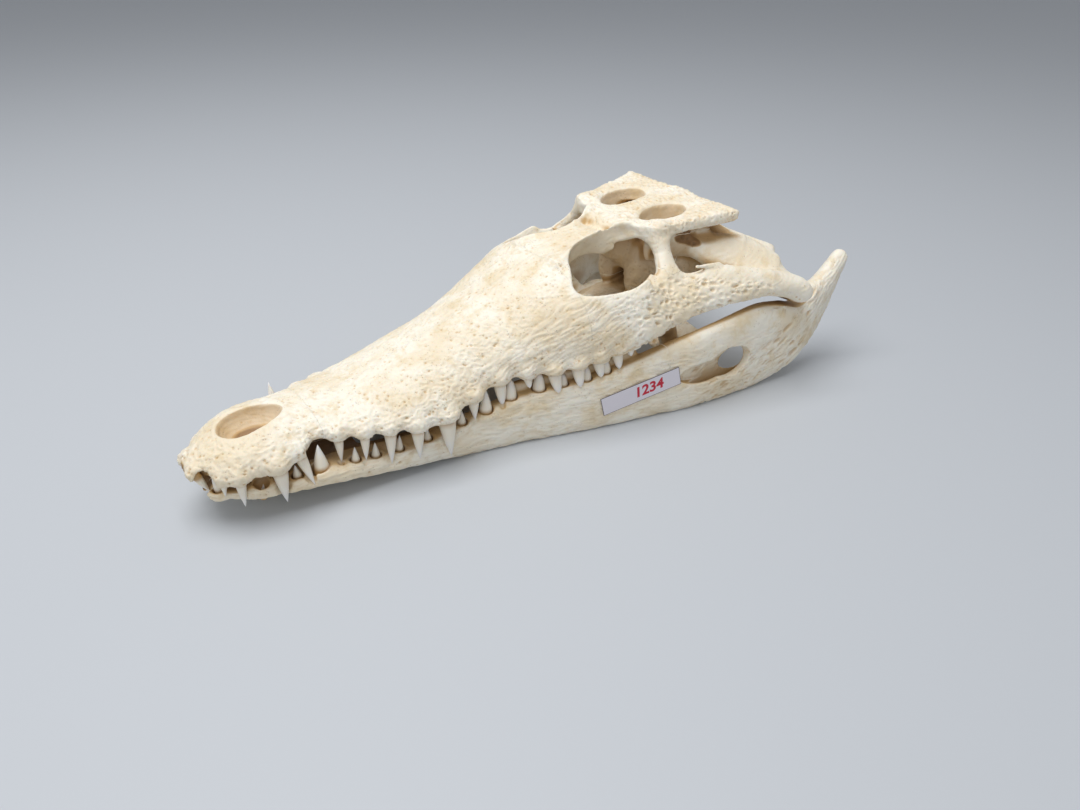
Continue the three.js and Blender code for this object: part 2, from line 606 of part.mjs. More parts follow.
/** Thins a closed surface by joining the ends of its least important edges. */
function thin({ points, triangles }, target) {
  const quadrics = points.map(() => new Array(10).fill(0));
  const facesOf = points.map(() => new Set());
  const version = new Int32Array(points.length);
  triangles.forEach((face, index) => {
    const normal = cross(minus(points[face[1]], points[face[0]]), minus(points[face[2]], points[face[0]]));
    const area = Math.hypot(...normal) || 1e-12;
    const unit = normal.map((v) => v / area);
    const quadric = planeQuadric(unit, -dot(unit, points[face[0]]), area);
    face.forEach((corner) => {
      facesOf[corner].add(index);
      quadric.forEach((v, i) => { quadrics[corner][i] += v; });
    });
  });
  const neighbours = (a) => {
    const found = new Set();
    facesOf[a].forEach((f) => triangles[f].forEach((c) => found.add(c)));
    found.delete(a);
    return found;
  };
  const queue = new Queue();
  const offer = (a, b) => {
    const quadric = quadrics[a].map((v, i) => v + quadrics[b][i]);
    const half = points[a].map((v, i) => (v + points[b][i]) / 2);
    const length = Math.hypot(...minus(points[a], points[b]));
    let best = quadricBest(quadric);
    if (!best || Math.hypot(...minus(best, half)) > length) best = half;
    const cost = quadricAt(quadric, best) + 1e-3 * length * length;
    queue.push([cost, a, b, version[a], version[b], best]);
  };
  const spoils = (a, b, best) => [...facesOf[a]].some((f) => {
    const face = triangles[f];
    if (face.includes(b)) return false;
    const before = shapeOf(face.map((c) => points[c]));
    const after = shapeOf(face.map((c) => (c === a ? best : points[c])));
    const turned = dot(before.normal, after.normal) < 0.3;
    return turned || (after.fullness < 0.1 && after.fullness < before.fullness);
  });
  points.forEach((_, a) => neighbours(a).forEach((b) => { if (a < b) offer(a, b); }));
  let left = triangles.length;
  while (left > target && queue.heap.length > 0) {
    const entry = queue.pop();
    const [cost, a, b, versionA, versionB, best] = entry;
    if (version[a] !== versionA || version[b] !== versionB) continue;
    const nearB = neighbours(b);
    const shared = [...neighbours(a)].filter((c) => nearB.has(c));
    if (shared.length !== 2 || spoils(a, b, best) || spoils(b, a, best)) {
      entry[0] = cost * RETRY_GROWTH + RETRY_STEP;
      if (entry[0] < RETRY_LIMIT) queue.push(entry);
      continue;
    }
    const gone = [...facesOf[a]].filter((f) => facesOf[b].has(f));
    gone.forEach((f) => triangles[f].forEach((c) => facesOf[c].delete(f)));
    gone.forEach((f) => { triangles[f] = null; });
    left -= gone.length;
    facesOf[b].forEach((f) => {
      triangles[f] = triangles[f].map((c) => (c === b ? a : c));
      facesOf[a].add(f);
    });
    facesOf[b] = new Set();
    points[a] = best;
    quadrics[a] = quadrics[a].map((v, i) => v + quadrics[b][i]);
    version[a] += 1;
    version[b] = -1;
    neighbours(a).forEach((c) => offer(a, c));
  }
  return { points, triangles: triangles.filter(Boolean) };
}

// ---------------------------------------------------------------- solids and bones

const wasm = await Module();
wasm.setup();

/** Solid with the given flat lists of coordinates and of corner numbers. */
function solidFrom(coordinates, corners) {
  const mesh = new wasm.Mesh({
    numProp: 3,
    vertProperties: new Float32Array(coordinates),
    triVerts: new Uint32Array(corners),
  });
  return new wasm.Manifold(mesh);
}

/** Turns a closed three.js geometry into a solid. */
function solidOf(geometry) {
  geometry.deleteAttribute('normal');
  geometry.deleteAttribute('uv');
  const merged = mergeVertices(geometry, 1e-5);
  return solidFrom(merged.getAttribute('position').array, merged.index.array);
}

/** Turns the points and triangles of a thinned surface into a solid. */
function solidOfSurface({ points, triangles }) {
  const used = [...new Set(triangles.flat())];
  const renumbered = new Map(used.map((old, index) => [old, index]));
  return solidFrom(used.flatMap((i) => points[i]), triangles.flat().map((i) => renumbered.get(i)));
}

/** Turns a solid back into a three.js geometry. */
function geometryOf(solid) {
  const mesh = solid.getMesh();
  const geometry = new THREE.BufferGeometry();
  geometry.setAttribute('position', new THREE.Float32BufferAttribute(mesh.vertProperties, 3));
  geometry.setIndex(Array.from(mesh.triVerts));
  return geometry;
}

/** Slightly curved crown from a base point along a direction, sunk in its socket by its root. */
function tooth({ base, direction, length, radius }) {
  const tall = length + ROOT_DEPTH;
  const cone = new THREE.ConeGeometry(radius, tall, TOOTH_SIDES, 2);
  const position = cone.getAttribute('position');
  for (let i = 0; i < position.count; i += 1) {
    const rise = position.getY(i) / tall + 0.5;
    const bulge = rise > 0.4 && rise < 0.6 ? 1.3 : 1;
    position.setX(i, position.getX(i) * bulge + 0.06 * tall * rise * rise);
    position.setZ(i, position.getZ(i) * bulge);
  }
  cone.translate(0, tall / 2 - ROOT_DEPTH, 0);
  const aim = new THREE.Vector3(...direction).normalize();
  cone.applyQuaternion(new THREE.Quaternion().setFromUnitVectors(new THREE.Vector3(0, 1, 0), aim));
  cone.translate(...base);
  return solidOf(cone);
}

/** Box between two corners, grown by `grow` and turned about its middle's vertical by `turn`. */
function block({ low, high, turn = 0 }, grow = 0) {
  const size = high.map((value, i) => value - low[i] + 2 * grow);
  const box = new THREE.BoxGeometry(...size);
  box.rotateZ(turn);
  box.translate(...high.map((value, i) => (value + low[i]) / 2));
  return solidOf(box);
}

/** Takes the part inside some blocks off a solid: [that part, the rest], with the bone gap between. */
function partOff(solid, blocks) {
  const [exact, grown] = [0, BONE_GAP].map((grow) =>
    blocks.map((item) => block(item, grow)).reduce((all, one) => all.add(one)));
  return [solid.intersect(exact), solid.subtract(grown)];
}

/** Mirrors block corners to the side `side` (-1 is left). */
function sided(side, { low, high, turn = 0 }) {
  const ys = [side * low[1], side * high[1]].sort((a, b) => a - b);
  return { low: [low[0], ys[0], low[2]], high: [high[0], ys[1], high[2]], turn: side * turn };
}

const FAR = 90; // beyond the bones on every side
const PREMAXILLA_END = 46.5;
const ROSTRUM_END = 155;
const CHEEK_BLOCKS = [
  { low: [140, 26, 0], high: [193, FAR, 84] },
  { low: [180, 26, 37], high: [197, FAR, 63] },
  { low: [190, 33, 37], high: [220, FAR, 61] },
  { low: [214, 50.5, 30], high: [266, 76, 70], turn: 0.3 },
];
const PALATE_BLOCKS = [
  { low: [140, -26, 0], high: [262, 26, 44] },
  { low: [186, -46, 0], high: [240, 46, 37] },
];
const QUADRATE_BLOCK = { low: [212, 18.5, 30], high: [290, FAR, 70] };
const DENTARY_END = 190;
const FLOOR_BLOCK = { low: [-10, -FAR, -20], high: [320, FAR, 0] };

/** Upper skull with its teeth, as named bones. */
function craniumBones() {
  const surface = thin(surfaceOf(cranium, [-3, -68, 8], [272, 68, 86], CELL), CRANIUM_TRIANGLES);
  const teeth = [...upperTeeth(-1), ...upperTeeth(1)].map(tooth);
  let rest = teeth.reduce((all, one) => all.add(one), solidOfSurface(surface));
  const bones = {};
  const take = (name, blocks) => { [bones[name], rest] = partOff(rest, blocks); };
  take('premaxilla', [{ low: [-20, -FAR, -20], high: [PREMAXILLA_END, FAR, FAR] }]);
  take('rostrum', [{ low: [-20, -FAR, -20], high: [ROSTRUM_END, FAR, FAR] }]);
  take('palate', PALATE_BLOCKS);
  take('cheek_left', CHEEK_BLOCKS.map((item) => sided(-1, item)));
  take('cheek_right', CHEEK_BLOCKS.map((item) => sided(1, item)));
  take('quadrate_left', [sided(-1, QUADRATE_BLOCK)]);
  take('quadrate_right', [sided(1, QUADRATE_BLOCK)]);
  bones.skull_roof = rest;
  return bones;
}

/** Lower jaw with its teeth, parted at the chin and in front of each side's window. */
function jawBones() {
  const surface = thin(surfaceOf(mandible, [0, -68, -3], [312, 68, 60], CELL), JAW_TRIANGLES);
  const whole = solidOfSurface(surface).subtract(block(FLOOR_BLOCK));
  let rest = [...lowerTeeth(-1), ...lowerTeeth(1)].map(tooth).reduce((all, one) => all.add(one), whole);
  const bones = {};
  const take = (name, blocks) => { [bones[name], rest] = partOff(rest, blocks); };
  take('dentary_left', [{ low: [-20, -FAR, -20], high: [DENTARY_END, -BONE_GAP / 2, FAR] }]);
  take('dentary_right', [{ low: [-20, BONE_GAP / 2, -20], high: [DENTARY_END, FAR, FAR] }]);
  take('jaw_back_left', [{ low: [DENTARY_END, -FAR, -20], high: [320, 0, FAR] }]);
  take('jaw_back_right', [{ low: [DENTARY_END, 0, -20], high: [320, FAR, FAR] }]);
  return bones;
}

// ---------------------------------------------------------------- label

const LABEL = { length: 37, height: 9, thick: 0.6, middle: [177, 15.8], stand: 0.55, rise: 0.22 };

/** Paper number label on the outer face of the left dentary. */
function label() {
  const [x, z] = LABEL.middle;
  const run = (jawMiddle(x + 15) - jawMiddle(x - 15)) / 30;
  const outer = jawMiddle(x) + jawHalfThickness(x) + LABEL.stand + LABEL.thick / 2;
  const sheet = new THREE.BoxGeometry(LABEL.length, LABEL.thick, LABEL.height);
  sheet.rotateY(-LABEL.rise);
  sheet.rotateZ(-Math.atan(run));
  sheet.translate(x, -outer, z);
  return sheet;
}

// ---------------------------------------------------------------- scene graph

const BONE = new THREE.MeshStandardMaterial({ color: 0xeadcc2, roughness: 0.62, metalness: 0 });
const PAPER = new THREE.MeshStandardMaterial({ color: 0xe3dde4, roughness: 0.5, metalness: 0 });

const skull = new THREE.Group();
for (const [name, solid] of Object.entries({ ...craniumBones(), ...jawBones() })) {
  const mesh = new THREE.Mesh(geometryOf(solid), BONE);
  mesh.name = name;
  skull.add(mesh);
}
const paper = new THREE.Mesh(label(), PAPER);
paper.name = 'label';
skull.add(paper);

// The frame's origin is under the middle of the skull, on the ground.
const bounds = new THREE.Box3().setFromObject(skull);
const middle = bounds.getCenter(new THREE.Vector3());
skull.position.set(-middle.x, -middle.y, -bounds.min.z);

export default skull;
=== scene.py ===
"""Cleaned crocodile skull with its lower jaw, lying on a plain pale floor with its jaws almost shut.

Each jaw is a solid field, negative inside the bone, sampled on a grid and turned into one fine closed
surface. The surface gets the relief of crocodile bone, wrinkled on the snout, pitted on the cheeks and
smooth round the hinge, and is then parted into its bones. While a jaw is shaped, x is the distance
back from the snout tip, y the distance to the right and z the height over the floor, all in mm.
"""

import json
import logging
import math
from dataclasses import dataclass
from enum import Enum
from typing import Callable, Iterable, Sequence

import bpy
import numpy as np
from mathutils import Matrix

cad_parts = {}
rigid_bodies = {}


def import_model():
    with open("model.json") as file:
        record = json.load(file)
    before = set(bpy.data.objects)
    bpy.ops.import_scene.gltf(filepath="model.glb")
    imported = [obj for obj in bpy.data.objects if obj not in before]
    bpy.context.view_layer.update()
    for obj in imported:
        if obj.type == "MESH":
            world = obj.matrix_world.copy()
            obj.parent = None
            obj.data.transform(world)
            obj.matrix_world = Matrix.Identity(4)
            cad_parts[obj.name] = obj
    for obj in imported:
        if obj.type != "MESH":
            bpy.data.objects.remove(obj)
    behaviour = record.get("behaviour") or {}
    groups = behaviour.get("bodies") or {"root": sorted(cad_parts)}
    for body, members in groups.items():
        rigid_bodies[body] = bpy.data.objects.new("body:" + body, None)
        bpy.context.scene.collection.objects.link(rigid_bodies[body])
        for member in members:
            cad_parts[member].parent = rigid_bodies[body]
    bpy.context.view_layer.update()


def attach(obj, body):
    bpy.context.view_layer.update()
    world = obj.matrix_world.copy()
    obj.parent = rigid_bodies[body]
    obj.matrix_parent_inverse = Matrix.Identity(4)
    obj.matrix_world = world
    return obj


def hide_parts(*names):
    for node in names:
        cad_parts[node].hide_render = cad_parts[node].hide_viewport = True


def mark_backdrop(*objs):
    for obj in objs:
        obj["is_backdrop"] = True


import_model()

import openvdb
from mathutils import Matrix, Vector

log = logging.getLogger("crocodile_skull")

MM = 0.001
TIP = np.array([-153.435, -0.304, 0.0])  # the snout tip's place in the frame, mm
CELL = 0.5  # grid step of the bone surfaces, mm

Triple = tuple[float, float, float]
Pairs = Sequence[tuple[float, float]]
Colour = tuple[float, float, float, float]


# ------------------------------------------------------------------ small helpers


def colour(text: str) -> Colour:
    """Turns an sRGB hex colour such as "#F2E6CF" into linear RGBA."""
    parts = [int(text[i : i + 2], 16) / 255 for i in (1, 3, 5)]
    linear = [p / 12.92 if p <= 0.04045 else ((p + 0.055) / 1.055) ** 2.4 for p in parts]
    return (linear[0], linear[1], linear[2], 1.0)


def ramp(values: np.ndarray, low: float, high: float) -> np.ndarray:
    """Smooth step from 0 at low to 1 at high, either way round."""
    t = np.clip((values - low) / (high - low), 0.0, 1.0)
    return t * t * (3 - 2 * t)


def within(values: np.ndarray, rise: tuple[float, float], fall: tuple[float, float]) -> np.ndarray:
    """Smooth hill: 0 before rise, 1 between rise and fall, and 0 after fall."""
    return ramp(values, *rise) * (1 - ramp(values, *fall))


def deselect() -> None:
    """Deselects every object."""
    for one in bpy.context.view_layer.objects:
        one.select_set(False)


def make_active(piece: bpy.types.Object) -> None:
    """Selects one object alone and makes it the active one."""
    deselect()
    piece.select_set(True)
    bpy.context.view_layer.objects.active = piece


def apply_modifier(piece: bpy.types.Object, name: str) -> None:
    """Applies a piece's modifier to its mesh."""
    make_active(piece)
    bpy.ops.object.modifier_apply(modifier=name)


def object_from(name: str, points: np.ndarray, faces: np.ndarray) -> bpy.types.Object:
    """Makes an object from points in the frame and equal-sided faces.

    Args:
        name: The object's name.
        points: Corner places in metres, one row each.
        faces: Corner numbers, one row of three or four for each face.

    Returns:
        The new object, linked to the scene.
    """
    mesh = bpy.data.meshes.new(name)
    sides = faces.shape[1]
    mesh.vertices.add(len(points))
    mesh.vertices.foreach_set("co", points.astype(np.float32).ravel())
    mesh.loops.add(faces.size)
    mesh.loops.foreach_set("vertex_index", faces.astype(np.int32).ravel())
    mesh.polygons.add(len(faces))
    mesh.polygons.foreach_set("loop_start", np.arange(0, faces.size, sides, dtype=np.int32))
    mesh.update(calc_edges=True)
    mesh.validate()
    piece = bpy.data.objects.new(name, mesh)
    bpy.context.scene.collection.objects.link(piece)
    return piece


def points_of(piece: bpy.types.Object) -> np.ndarray:
    """Corner places of a piece's mesh, in working mm."""
    places = np.empty(len(piece.data.vertices) * 3, np.float32)
    piece.data.vertices.foreach_get("co", places)
    return places.reshape(-1, 3).astype(float) / MM - TIP


def normals_of(piece: bpy.types.Object) -> np.ndarray:
    """Outward directions at the corners of a piece's mesh."""
    normals = np.empty(len(piece.data.vertices) * 3, np.float32)
    piece.data.vertex_normals.foreach_get("vector", normals)
    return normals.reshape(-1, 3).astype(float)


def set_points(piece: bpy.types.Object, points: np.ndarray) -> None:
    """Moves the corners of a piece's mesh to places in working mm."""
    piece.data.vertices.foreach_set("co", ((points + TIP) * MM).astype(np.float32).ravel())
    piece.data.update()


def set_attribute(piece: bpy.types.Object, name: str, values: np.ndarray) -> None:
    """Stores one number at each corner of a piece's mesh."""
    layer = piece.data.attributes.get(name) or piece.data.attributes.new(name, "FLOAT", "POINT")
    layer.data.foreach_set("value", values.astype(np.float32))


# ------------------------------------------------------------------ noise


class Noise:
    """Repeatable noise that depends on the place and a seed only."""

    @staticmethod
    def scramble(x: np.ndarray, y: np.ndarray, z: np.ndarray, seed: int) -> np.ndarray:
        """Mixes whole numbers into one unsigned number each."""
        mixed = x.astype(np.int64) * 73856093 ^ y.astype(np.int64) * 19349663
        mixed ^= z.astype(np.int64) * 83492791 ^ (seed * 974634777)
        mixed &= 0xFFFFFFFF
        mixed = ((mixed ^ (mixed >> 13)) * 1274126177) & 0xFFFFFFFF
        return mixed ^ (mixed >> 16)

    @staticmethod
    def smooth(points: np.ndarray, seed: int) -> np.ndarray:
        """Gradient noise of unit wavelength.

        Args:
            points: Places, one row each.
            seed: Which of the patterns.

        Returns:
            One value for each place, mostly between -0.7 and 0.7.
        """
        floor = np.floor(points)
        part = points - floor
        fade = part**3 * (part * (part * 6 - 15) + 10)
        total = np.zeros(len(points))
        for corner in range(8):
            step = np.array([corner & 1, (corner >> 1) & 1, corner >> 2])
            mixed = Noise.scramble(*(floor + step).T, seed)
            slope = np.stack([(mixed >> shift) & 1023 for shift in (0, 10, 20)], 1) / 511.5 - 1
            weight = np.prod(np.where(step == 1, fade, 1 - fade), 1)
            total += weight * np.einsum("ij,ij->i", slope, part - step)
        return total

    @staticmethod
    def layered(points: np.ndarray, seed: int, layers: int) -> np.ndarray:
        """Gradient noise with finer and weaker layers on top."""
        return sum(Noise.smooth(points * 2.03**n, seed + n) * 0.55**n for n in range(layers))

    @staticmethod
    def cells(points: np.ndarray, seed: int) -> tuple[np.ndarray, np.ndarray, np.ndarray]:
        """Scattered dots, about one in each unit cube.

        Args:
            points: Places, one row each.
            seed: Which of the patterns.

        Returns:
            The distances to the nearest dot and the next, and a random number from 0 to 1 of the nearest.
        """
        floor = np.floor(points)
        nearest = np.full(len(points), 9.0)
        second = nearest.copy()
        chance = np.zeros(len(points))
        for cell in np.ndindex(3, 3, 3):
            home = floor + np.array(cell) - 1
            mixed = Noise.scramble(*home.T, seed)
            dot = home + np.stack([(mixed >> shift) & 1023 for shift in (0, 10, 20)], 1) / 1023
            distance = np.linalg.norm(points - dot, axis=1)
            closer = distance < nearest
            second = np.minimum(second, np.where(closer, nearest, distance))
            nearest[closer] = distance[closer]
            chance[closer] = ((mixed[closer] >> 5) & 255) / 255
        return nearest, second, chance


# ------------------------------------------------------------------ fields


class Profile:
    """Smooth curve through (x, value) pairs, level beyond its ends."""

    def __init__(self, pairs: Pairs) -> None:
        """Keeps the pairs as two rows."""
        self.at, self.value = np.array(pairs, float).T

    def __call__(self, x: np.ndarray) -> np.ndarray:
        """Values of the curve at x."""
        at, value = self.at, self.value
        last = len(at) - 1
        x = np.clip(x, at[0], at[-1])
        right = np.clip(np.searchsorted(at, x, side="right"), 1, last)
        left = right - 1
        before = np.where(left > 0, left - 1, right)
        after = np.where(right < last, np.minimum(right + 1, last), left)
        step = at[right] - at[left]
        weight_before = step / 2 / (at[left] - at[before])
        weight_after = step / 2 / (at[after] - at[right])
        t = (x - at[left]) / step
        return (
            value[before] * weight_before * (-(t**3) + 2 * t**2 - t)
            + value[left] * ((1 + weight_before) * t**3 - (1.5 + 2 * weight_before) * t**2
                             + (weight_before - 0.5) * t + 1)
            + value[right] * ((-1 - weight_after) * t**3 + (1.5 + weight_after) * t**2 + 0.5 * t)
            + value[after] * weight_after * (t**3 - t**2)
        )


def joined(a: np.ndarray, b: np.ndarray, reach: float) -> np.ndarray:
    """Joins two fields with a fillet of about reach."""
    h = np.maximum(reach - np.abs(a - b), 0) / reach
    return np.minimum(a, b) - h * h * reach / 4


def carved(a: np.ndarray, b: np.ndarray, reach: float) -> np.ndarray:
    """Takes field b out of field a and rounds the edge by about reach."""
    return -joined(-a, b, reach)


def rounded_section(u: np.ndarray, v: np.ndarray, a: object, b: object, power: object) -> np.ndarray:
    """Field of a flat section with half sizes a and b and a superellipse outline."""
    p, q = np.abs(u) / a, np.abs(v) / b
    total = np.maximum(p**power + q**power, 1e-9)
    value = total ** (1 / power)
    slope = value / total * np.hypot(p ** (power - 1) / a, q ** (power - 1) / b)
    return (value - 1) / np.maximum(slope, 1e-6)


@dataclass(frozen=True)
class Ellipsoid:
    """Ellipsoid, turned about the x axis by tilt (radians)."""

    centre: Triple
    radii: Triple
    tilt: float = 0.0

    def box(self) -> tuple[np.ndarray, np.ndarray]:
        """Lowest and highest corner."""
        rx, ry, rz = self.radii
        c, s = abs(math.cos(self.tilt)), abs(math.sin(self.tilt))
        half = np.array([rx, c * ry + s * rz, s * ry + c * rz])
        return np.array(self.centre) - half, np.array(self.centre) + half

    def __call__(self, x: np.ndarray, y: np.ndarray, z: np.ndarray) -> np.ndarray:
        """Field at the given places."""
        c, s = math.cos(self.tilt), math.sin(self.tilt)
        (cx, cy, cz), (rx, ry, rz) = self.centre, self.radii
        px = (x - cx) / rx
        py = (c * (y - cy) + s * (z - cz)) / ry
        pz = (c * (z - cz) - s * (y - cy)) / rz
        near = np.sqrt(px**2 + py**2 + pz**2) + 1e-9
        return near * (near - 1) / np.sqrt((px / rx) ** 2 + (py / ry) ** 2 + (pz / rz) ** 2 + 1e-12)


@dataclass(frozen=True)
class Pocket:
    """The part of an ellipsoid that lies beyond a flat floor at y = floor."""

    outline: Ellipsoid
    floor: float

    def box(self) -> tuple[np.ndarray, np.ndarray]:
        """Lowest and highest corner."""
        low, high = self.outline.box()
        low[1] = self.floor
        return low, high

    def __call__(self, x: np.ndarray, y: np.ndarray, z: np.ndarray) -> np.ndarray:
        """Field at the given places."""
        return np.maximum(self.outline(x, y, z), self.floor - y)


UPRIGHT = (0.0, 0.0, 1.0)  # ways in which the broad side of a bar's section can lie
CROSSWISE = (0.0, 1.0, 0.0)
LENGTHWISE = (1.0, 0.0, 0.0)


@dataclass(frozen=True)
class Station:
    """One oval section of a bar: half[0] wide along across, half[1] thick."""

    at: Triple
    half: tuple[float, float]
    across: Triple = UPRIGHT


@dataclass(frozen=True)
class Bar:
    """Bar with an oval section, swept through its stations."""

    stations: tuple[Station, ...]

    def box(self) -> tuple[np.ndarray, np.ndarray]:
        """Lowest and highest corner."""
        places = np.array([s.at for s in self.stations])
        thickest = max(max(s.half) for s in self.stations)
        return places.min(0) - thickest, places.max(0) + thickest

    def __call__(self, x: np.ndarray, y: np.ndarray, z: np.ndarray) -> np.ndarray:
        """Field at the given places."""
        spans = zip(self.stations, self.stations[1:])
        return np.minimum.reduce([self.span(start, end, x, y, z) for start, end in spans])

    @staticmethod
    def span(start: Station, end: Station, x: np.ndarray, y: np.ndarray, z: np.ndarray) -> np.ndarray:
        """Field of the part between two stations."""
        a, b = np.array(start.at, float), np.array(end.at, float)
        length = float(np.linalg.norm(b - a))
        along = (b - a) / length
        frames = []
        for station in (start, end):
            across = np.array(station.across, float)
            across = across - along * (across @ along)
            frames.append(across / np.linalg.norm(across))
        dx, dy, dz = x - a[0], y - a[1], z - a[2]
        t = np.clip((dx * along[0] + dy * along[1] + dz * along[2]) / length, 0, 1)
        ux, uy, uz = (frames[0][k] + (frames[1][k] - frames[0][k]) * t for k in range(3))
        wide = start.half[0] + (end.half[0] - start.half[0]) * t
        thin = start.half[1] + (end.half[1] - start.half[1]) * t
        qx, qy, qz = dx - along[0] * length * t, dy - along[1] * length * t, dz - along[2] * length * t
        u = (qx * ux + qy * uy + qz * uz) / np.sqrt(ux**2 + uy**2 + uz**2)
        rest = np.sqrt(np.maximum(qx**2 + qy**2 + qz**2 - u**2, 0))
        return rounded_section(u, rest, wide, thin, 2.0)


def bar(*stations: tuple) -> Bar:
    """Bar through stations that are given as (at, half) or (at, half, across)."""
    return Bar(tuple(Station(*station) for station in stations))


def rod(start: Triple, end: Triple, thick: float, thin: float) -> Bar:
    """Round bar that narrows from thick to thin."""
    return bar((start, (thick, thick)), (end, (thin, thin)))


@dataclass(frozen=True)
class Blend:
    """Two or three ellipsoids that run smoothly into each other."""

    parts: tuple[Ellipsoid, ...]
    reach: float

    def box(self) -> tuple[np.ndarray, np.ndarray]:
        """Lowest and highest corner."""
        lows, highs = zip(*[part.box() for part in self.parts])
        return np.min(lows, 0), np.max(highs, 0)

    def __call__(self, x: np.ndarray, y: np.ndarray, z: np.ndarray) -> np.ndarray:
        """Field at the given places."""
        value = self.parts[0](x, y, z)
        for part in self.parts[1:]:
            value = joined(value, part(x, y, z), self.reach)
        return value


Shape = Ellipsoid | Pocket | Bar | Blend
KEEP_TRUE = 7.0  # how far round a shape its distances are kept, mm
FAR_OUT = 1e3  # the field where no bone is near


class Volume:
    """A field sampled on a grid of equal steps."""

    def __init__(self, low: Triple, high: Triple, values: np.ndarray | None = None) -> None:
        """Lays the grid between two corners, all outside the bone."""
        self.low = np.array(low, float)
        counts = np.ceil((np.array(high) - self.low) / CELL).astype(int) + 1
        self.values = np.full(counts, FAR_OUT, np.float32) if values is None else values

    def axes(self, window: tuple[slice, ...] | None = None) -> list[np.ndarray]:
        """Coordinates of the grid, or of a window of it, ready to be combined."""
        shape = self.values.shape
        window = window or tuple(slice(0, n) for n in shape)
        lines = [self.low[k] + CELL * np.arange(window[k].start, window[k].stop) for k in range(3)]
        return list(np.ix_(*[line.astype(np.float32) for line in lines]))

    def window(self, low: np.ndarray, high: np.ndarray) -> tuple[slice, ...]:
        """The part of the grid between two corners."""
        limits = []
        for k in range(3):
            start = int(np.clip((low[k] - self.low[k]) // CELL, 0, self.values.shape[k]))
            stop = int(np.clip((high[k] - self.low[k]) // CELL + 2, start, self.values.shape[k]))
            limits.append(slice(start, stop))
        return tuple(limits)

    def change(self, shape: Shape, reach: float, how: Callable[..., np.ndarray]) -> None:
        """Joins or carves one shape where it matters."""
        low, high = shape.box()
        margin = max(reach, KEEP_TRUE)
        window = self.window(low - margin, high + margin)
        part = self.values[window]
        if part.size:
            self.values[window] = how(part, shape(*self.axes(window)), reach)

    def join(self, shape: Shape, reach: float) -> None:
        """Grows a shape onto the bone."""
        self.change(shape, reach, joined)

    def carve(self, shape: Shape, reach: float) -> None:
        """Hollows a shape out of the bone."""
        self.change(shape, reach, carved)

    def mirrored(self) -> "Volume":
        """The whole field of a half that starts at y = 0."""
        low = self.low.copy()
        low[1] = -CELL * (self.values.shape[1] - 1)
        both = np.concatenate([self.values[:, :0:-1], self.values], 1)
        return Volume(tuple(low), tuple(low), np.ascontiguousarray(both))

    def at(self, points: np.ndarray) -> np.ndarray:
        """Field at any places, blended between the grid's points; off the grid it is FAR_OUT."""
        place = (points - self.low) / CELL
        floor = np.floor(place).astype(int)
        inside = ((floor >= 0) & (floor < np.array(self.values.shape) - 1)).all(1)
        result = np.full(len(points), FAR_OUT)
        floor, part = floor[inside], (place - floor)[inside]
        total = np.zeros(len(floor))
        for corner in range(8):
            step = np.array([corner & 1, (corner >> 1) & 1, corner >> 2])
            weight = np.prod(np.where(step == 1, part, 1 - part), 1)
            total += weight * self.values[tuple((floor + step).T)]
        result[inside] = total
        return result

    def surface(self, name: str) -> bpy.types.Object:
        """Closed surface of the bone, as an object in the frame."""
        grid = openvdb.FloatGrid()
        grid.background = FAR_OUT
        grid.copyFromArray(np.ascontiguousarray(self.values))
        points, _, faces = grid.convertToPolygons(0.0, 0.0)
        places = (points * CELL + self.low + TIP) * MM
        return object_from(name, places, faces)


# ------------------------------------------------------------------ teeth


@dataclass(frozen=True)
class Tooth:
    """A conical tooth: where its crown leaves the jaw, where it points, and its size in mm."""

    base: Triple
    direction: Triple
    length: float
    radius: float

    def along(self, share: float) -> Triple:
        """Place on the tooth's axis, as a share of the crown's length."""
        unit = np.array(self.direction) / np.linalg.norm(self.direction)
        return tuple(np.array(self.base) + unit * self.length * share)

    def room(self, air: float) -> Bar:
        """Room that the tooth needs where it passes the other jaw."""
        wide = self.radius + air
        return bar(
            (self.base, (wide, wide)),
            (self.along(0.55), (0.85 * wide, 0.85 * wide)),
            (self.along(1.05), (air + 0.4, air + 0.4)),
        )


UPPER_ROWS = (  # distance from the tip, crown length, base radius, lean back, spread
    (3, 8, 1.8, 0.35, 0.12), (9.5, 6, 1.6, -0.1, 0.12), (14.5, 11, 2.1, -0.05, 0.12),
    (28, 15, 3, 0, 0.12), (36.5, 13, 2.4, 0.17, 0.45), (51.5, 11, 2, -0.05, 0.12),
    (60.5, 11, 2.1, -0.1, 0.12), (70, 14.5, 2.5, -0.1, 0.12), (80, 13.5, 2.7, -0.05, 0.12),
    (92.5, 17.5, 3.6, 0, 0.12), (105.5, 10, 2.6, 0, 0.12), (118, 10.3, 2.6, 0, 0.2),
    (129.5, 5, 2, 0, 0.4), (140.5, 9.3, 2.9, 0, 0.45), (150.5, 9, 2.9, -0.1, 0.45),
    (159.5, 8, 2.8, 0, 0.4), (168, 8, 2.6, 0, 0.35), (174, 5, 2.2, 0, 0.3),
)
LOWER_ROWS = (  # distance from the tip, crown length, base radius, lean back
    (8.5, 6.5, 1.9, -0.25), (34.5, 5, 2, -0.1), (43.5, 10, 3, -0.05), (56.5, 6, 1.9, 0),
    (64.5, 6, 2, 0), (74, 6.2, 2, 0.1), (86, 5.2, 2, 0), (101, 6, 2.2, 0), (111.5, 10, 2.9, 0),
    (123, 8.5, 2.8, 0), (135, 8, 2.8, 0), (145, 5, 2.4, 0), (155, 6, 2.5, 0), (163.5, 6.7, 2.4, -0.1),
)
LONG_FANG = (42.5, 18.5, 3.2, -0.1)  # the right fourth lower tooth, which stands out over the snout
LONG_FANG_PLACE = 2  # its place in LOWER_ROWS
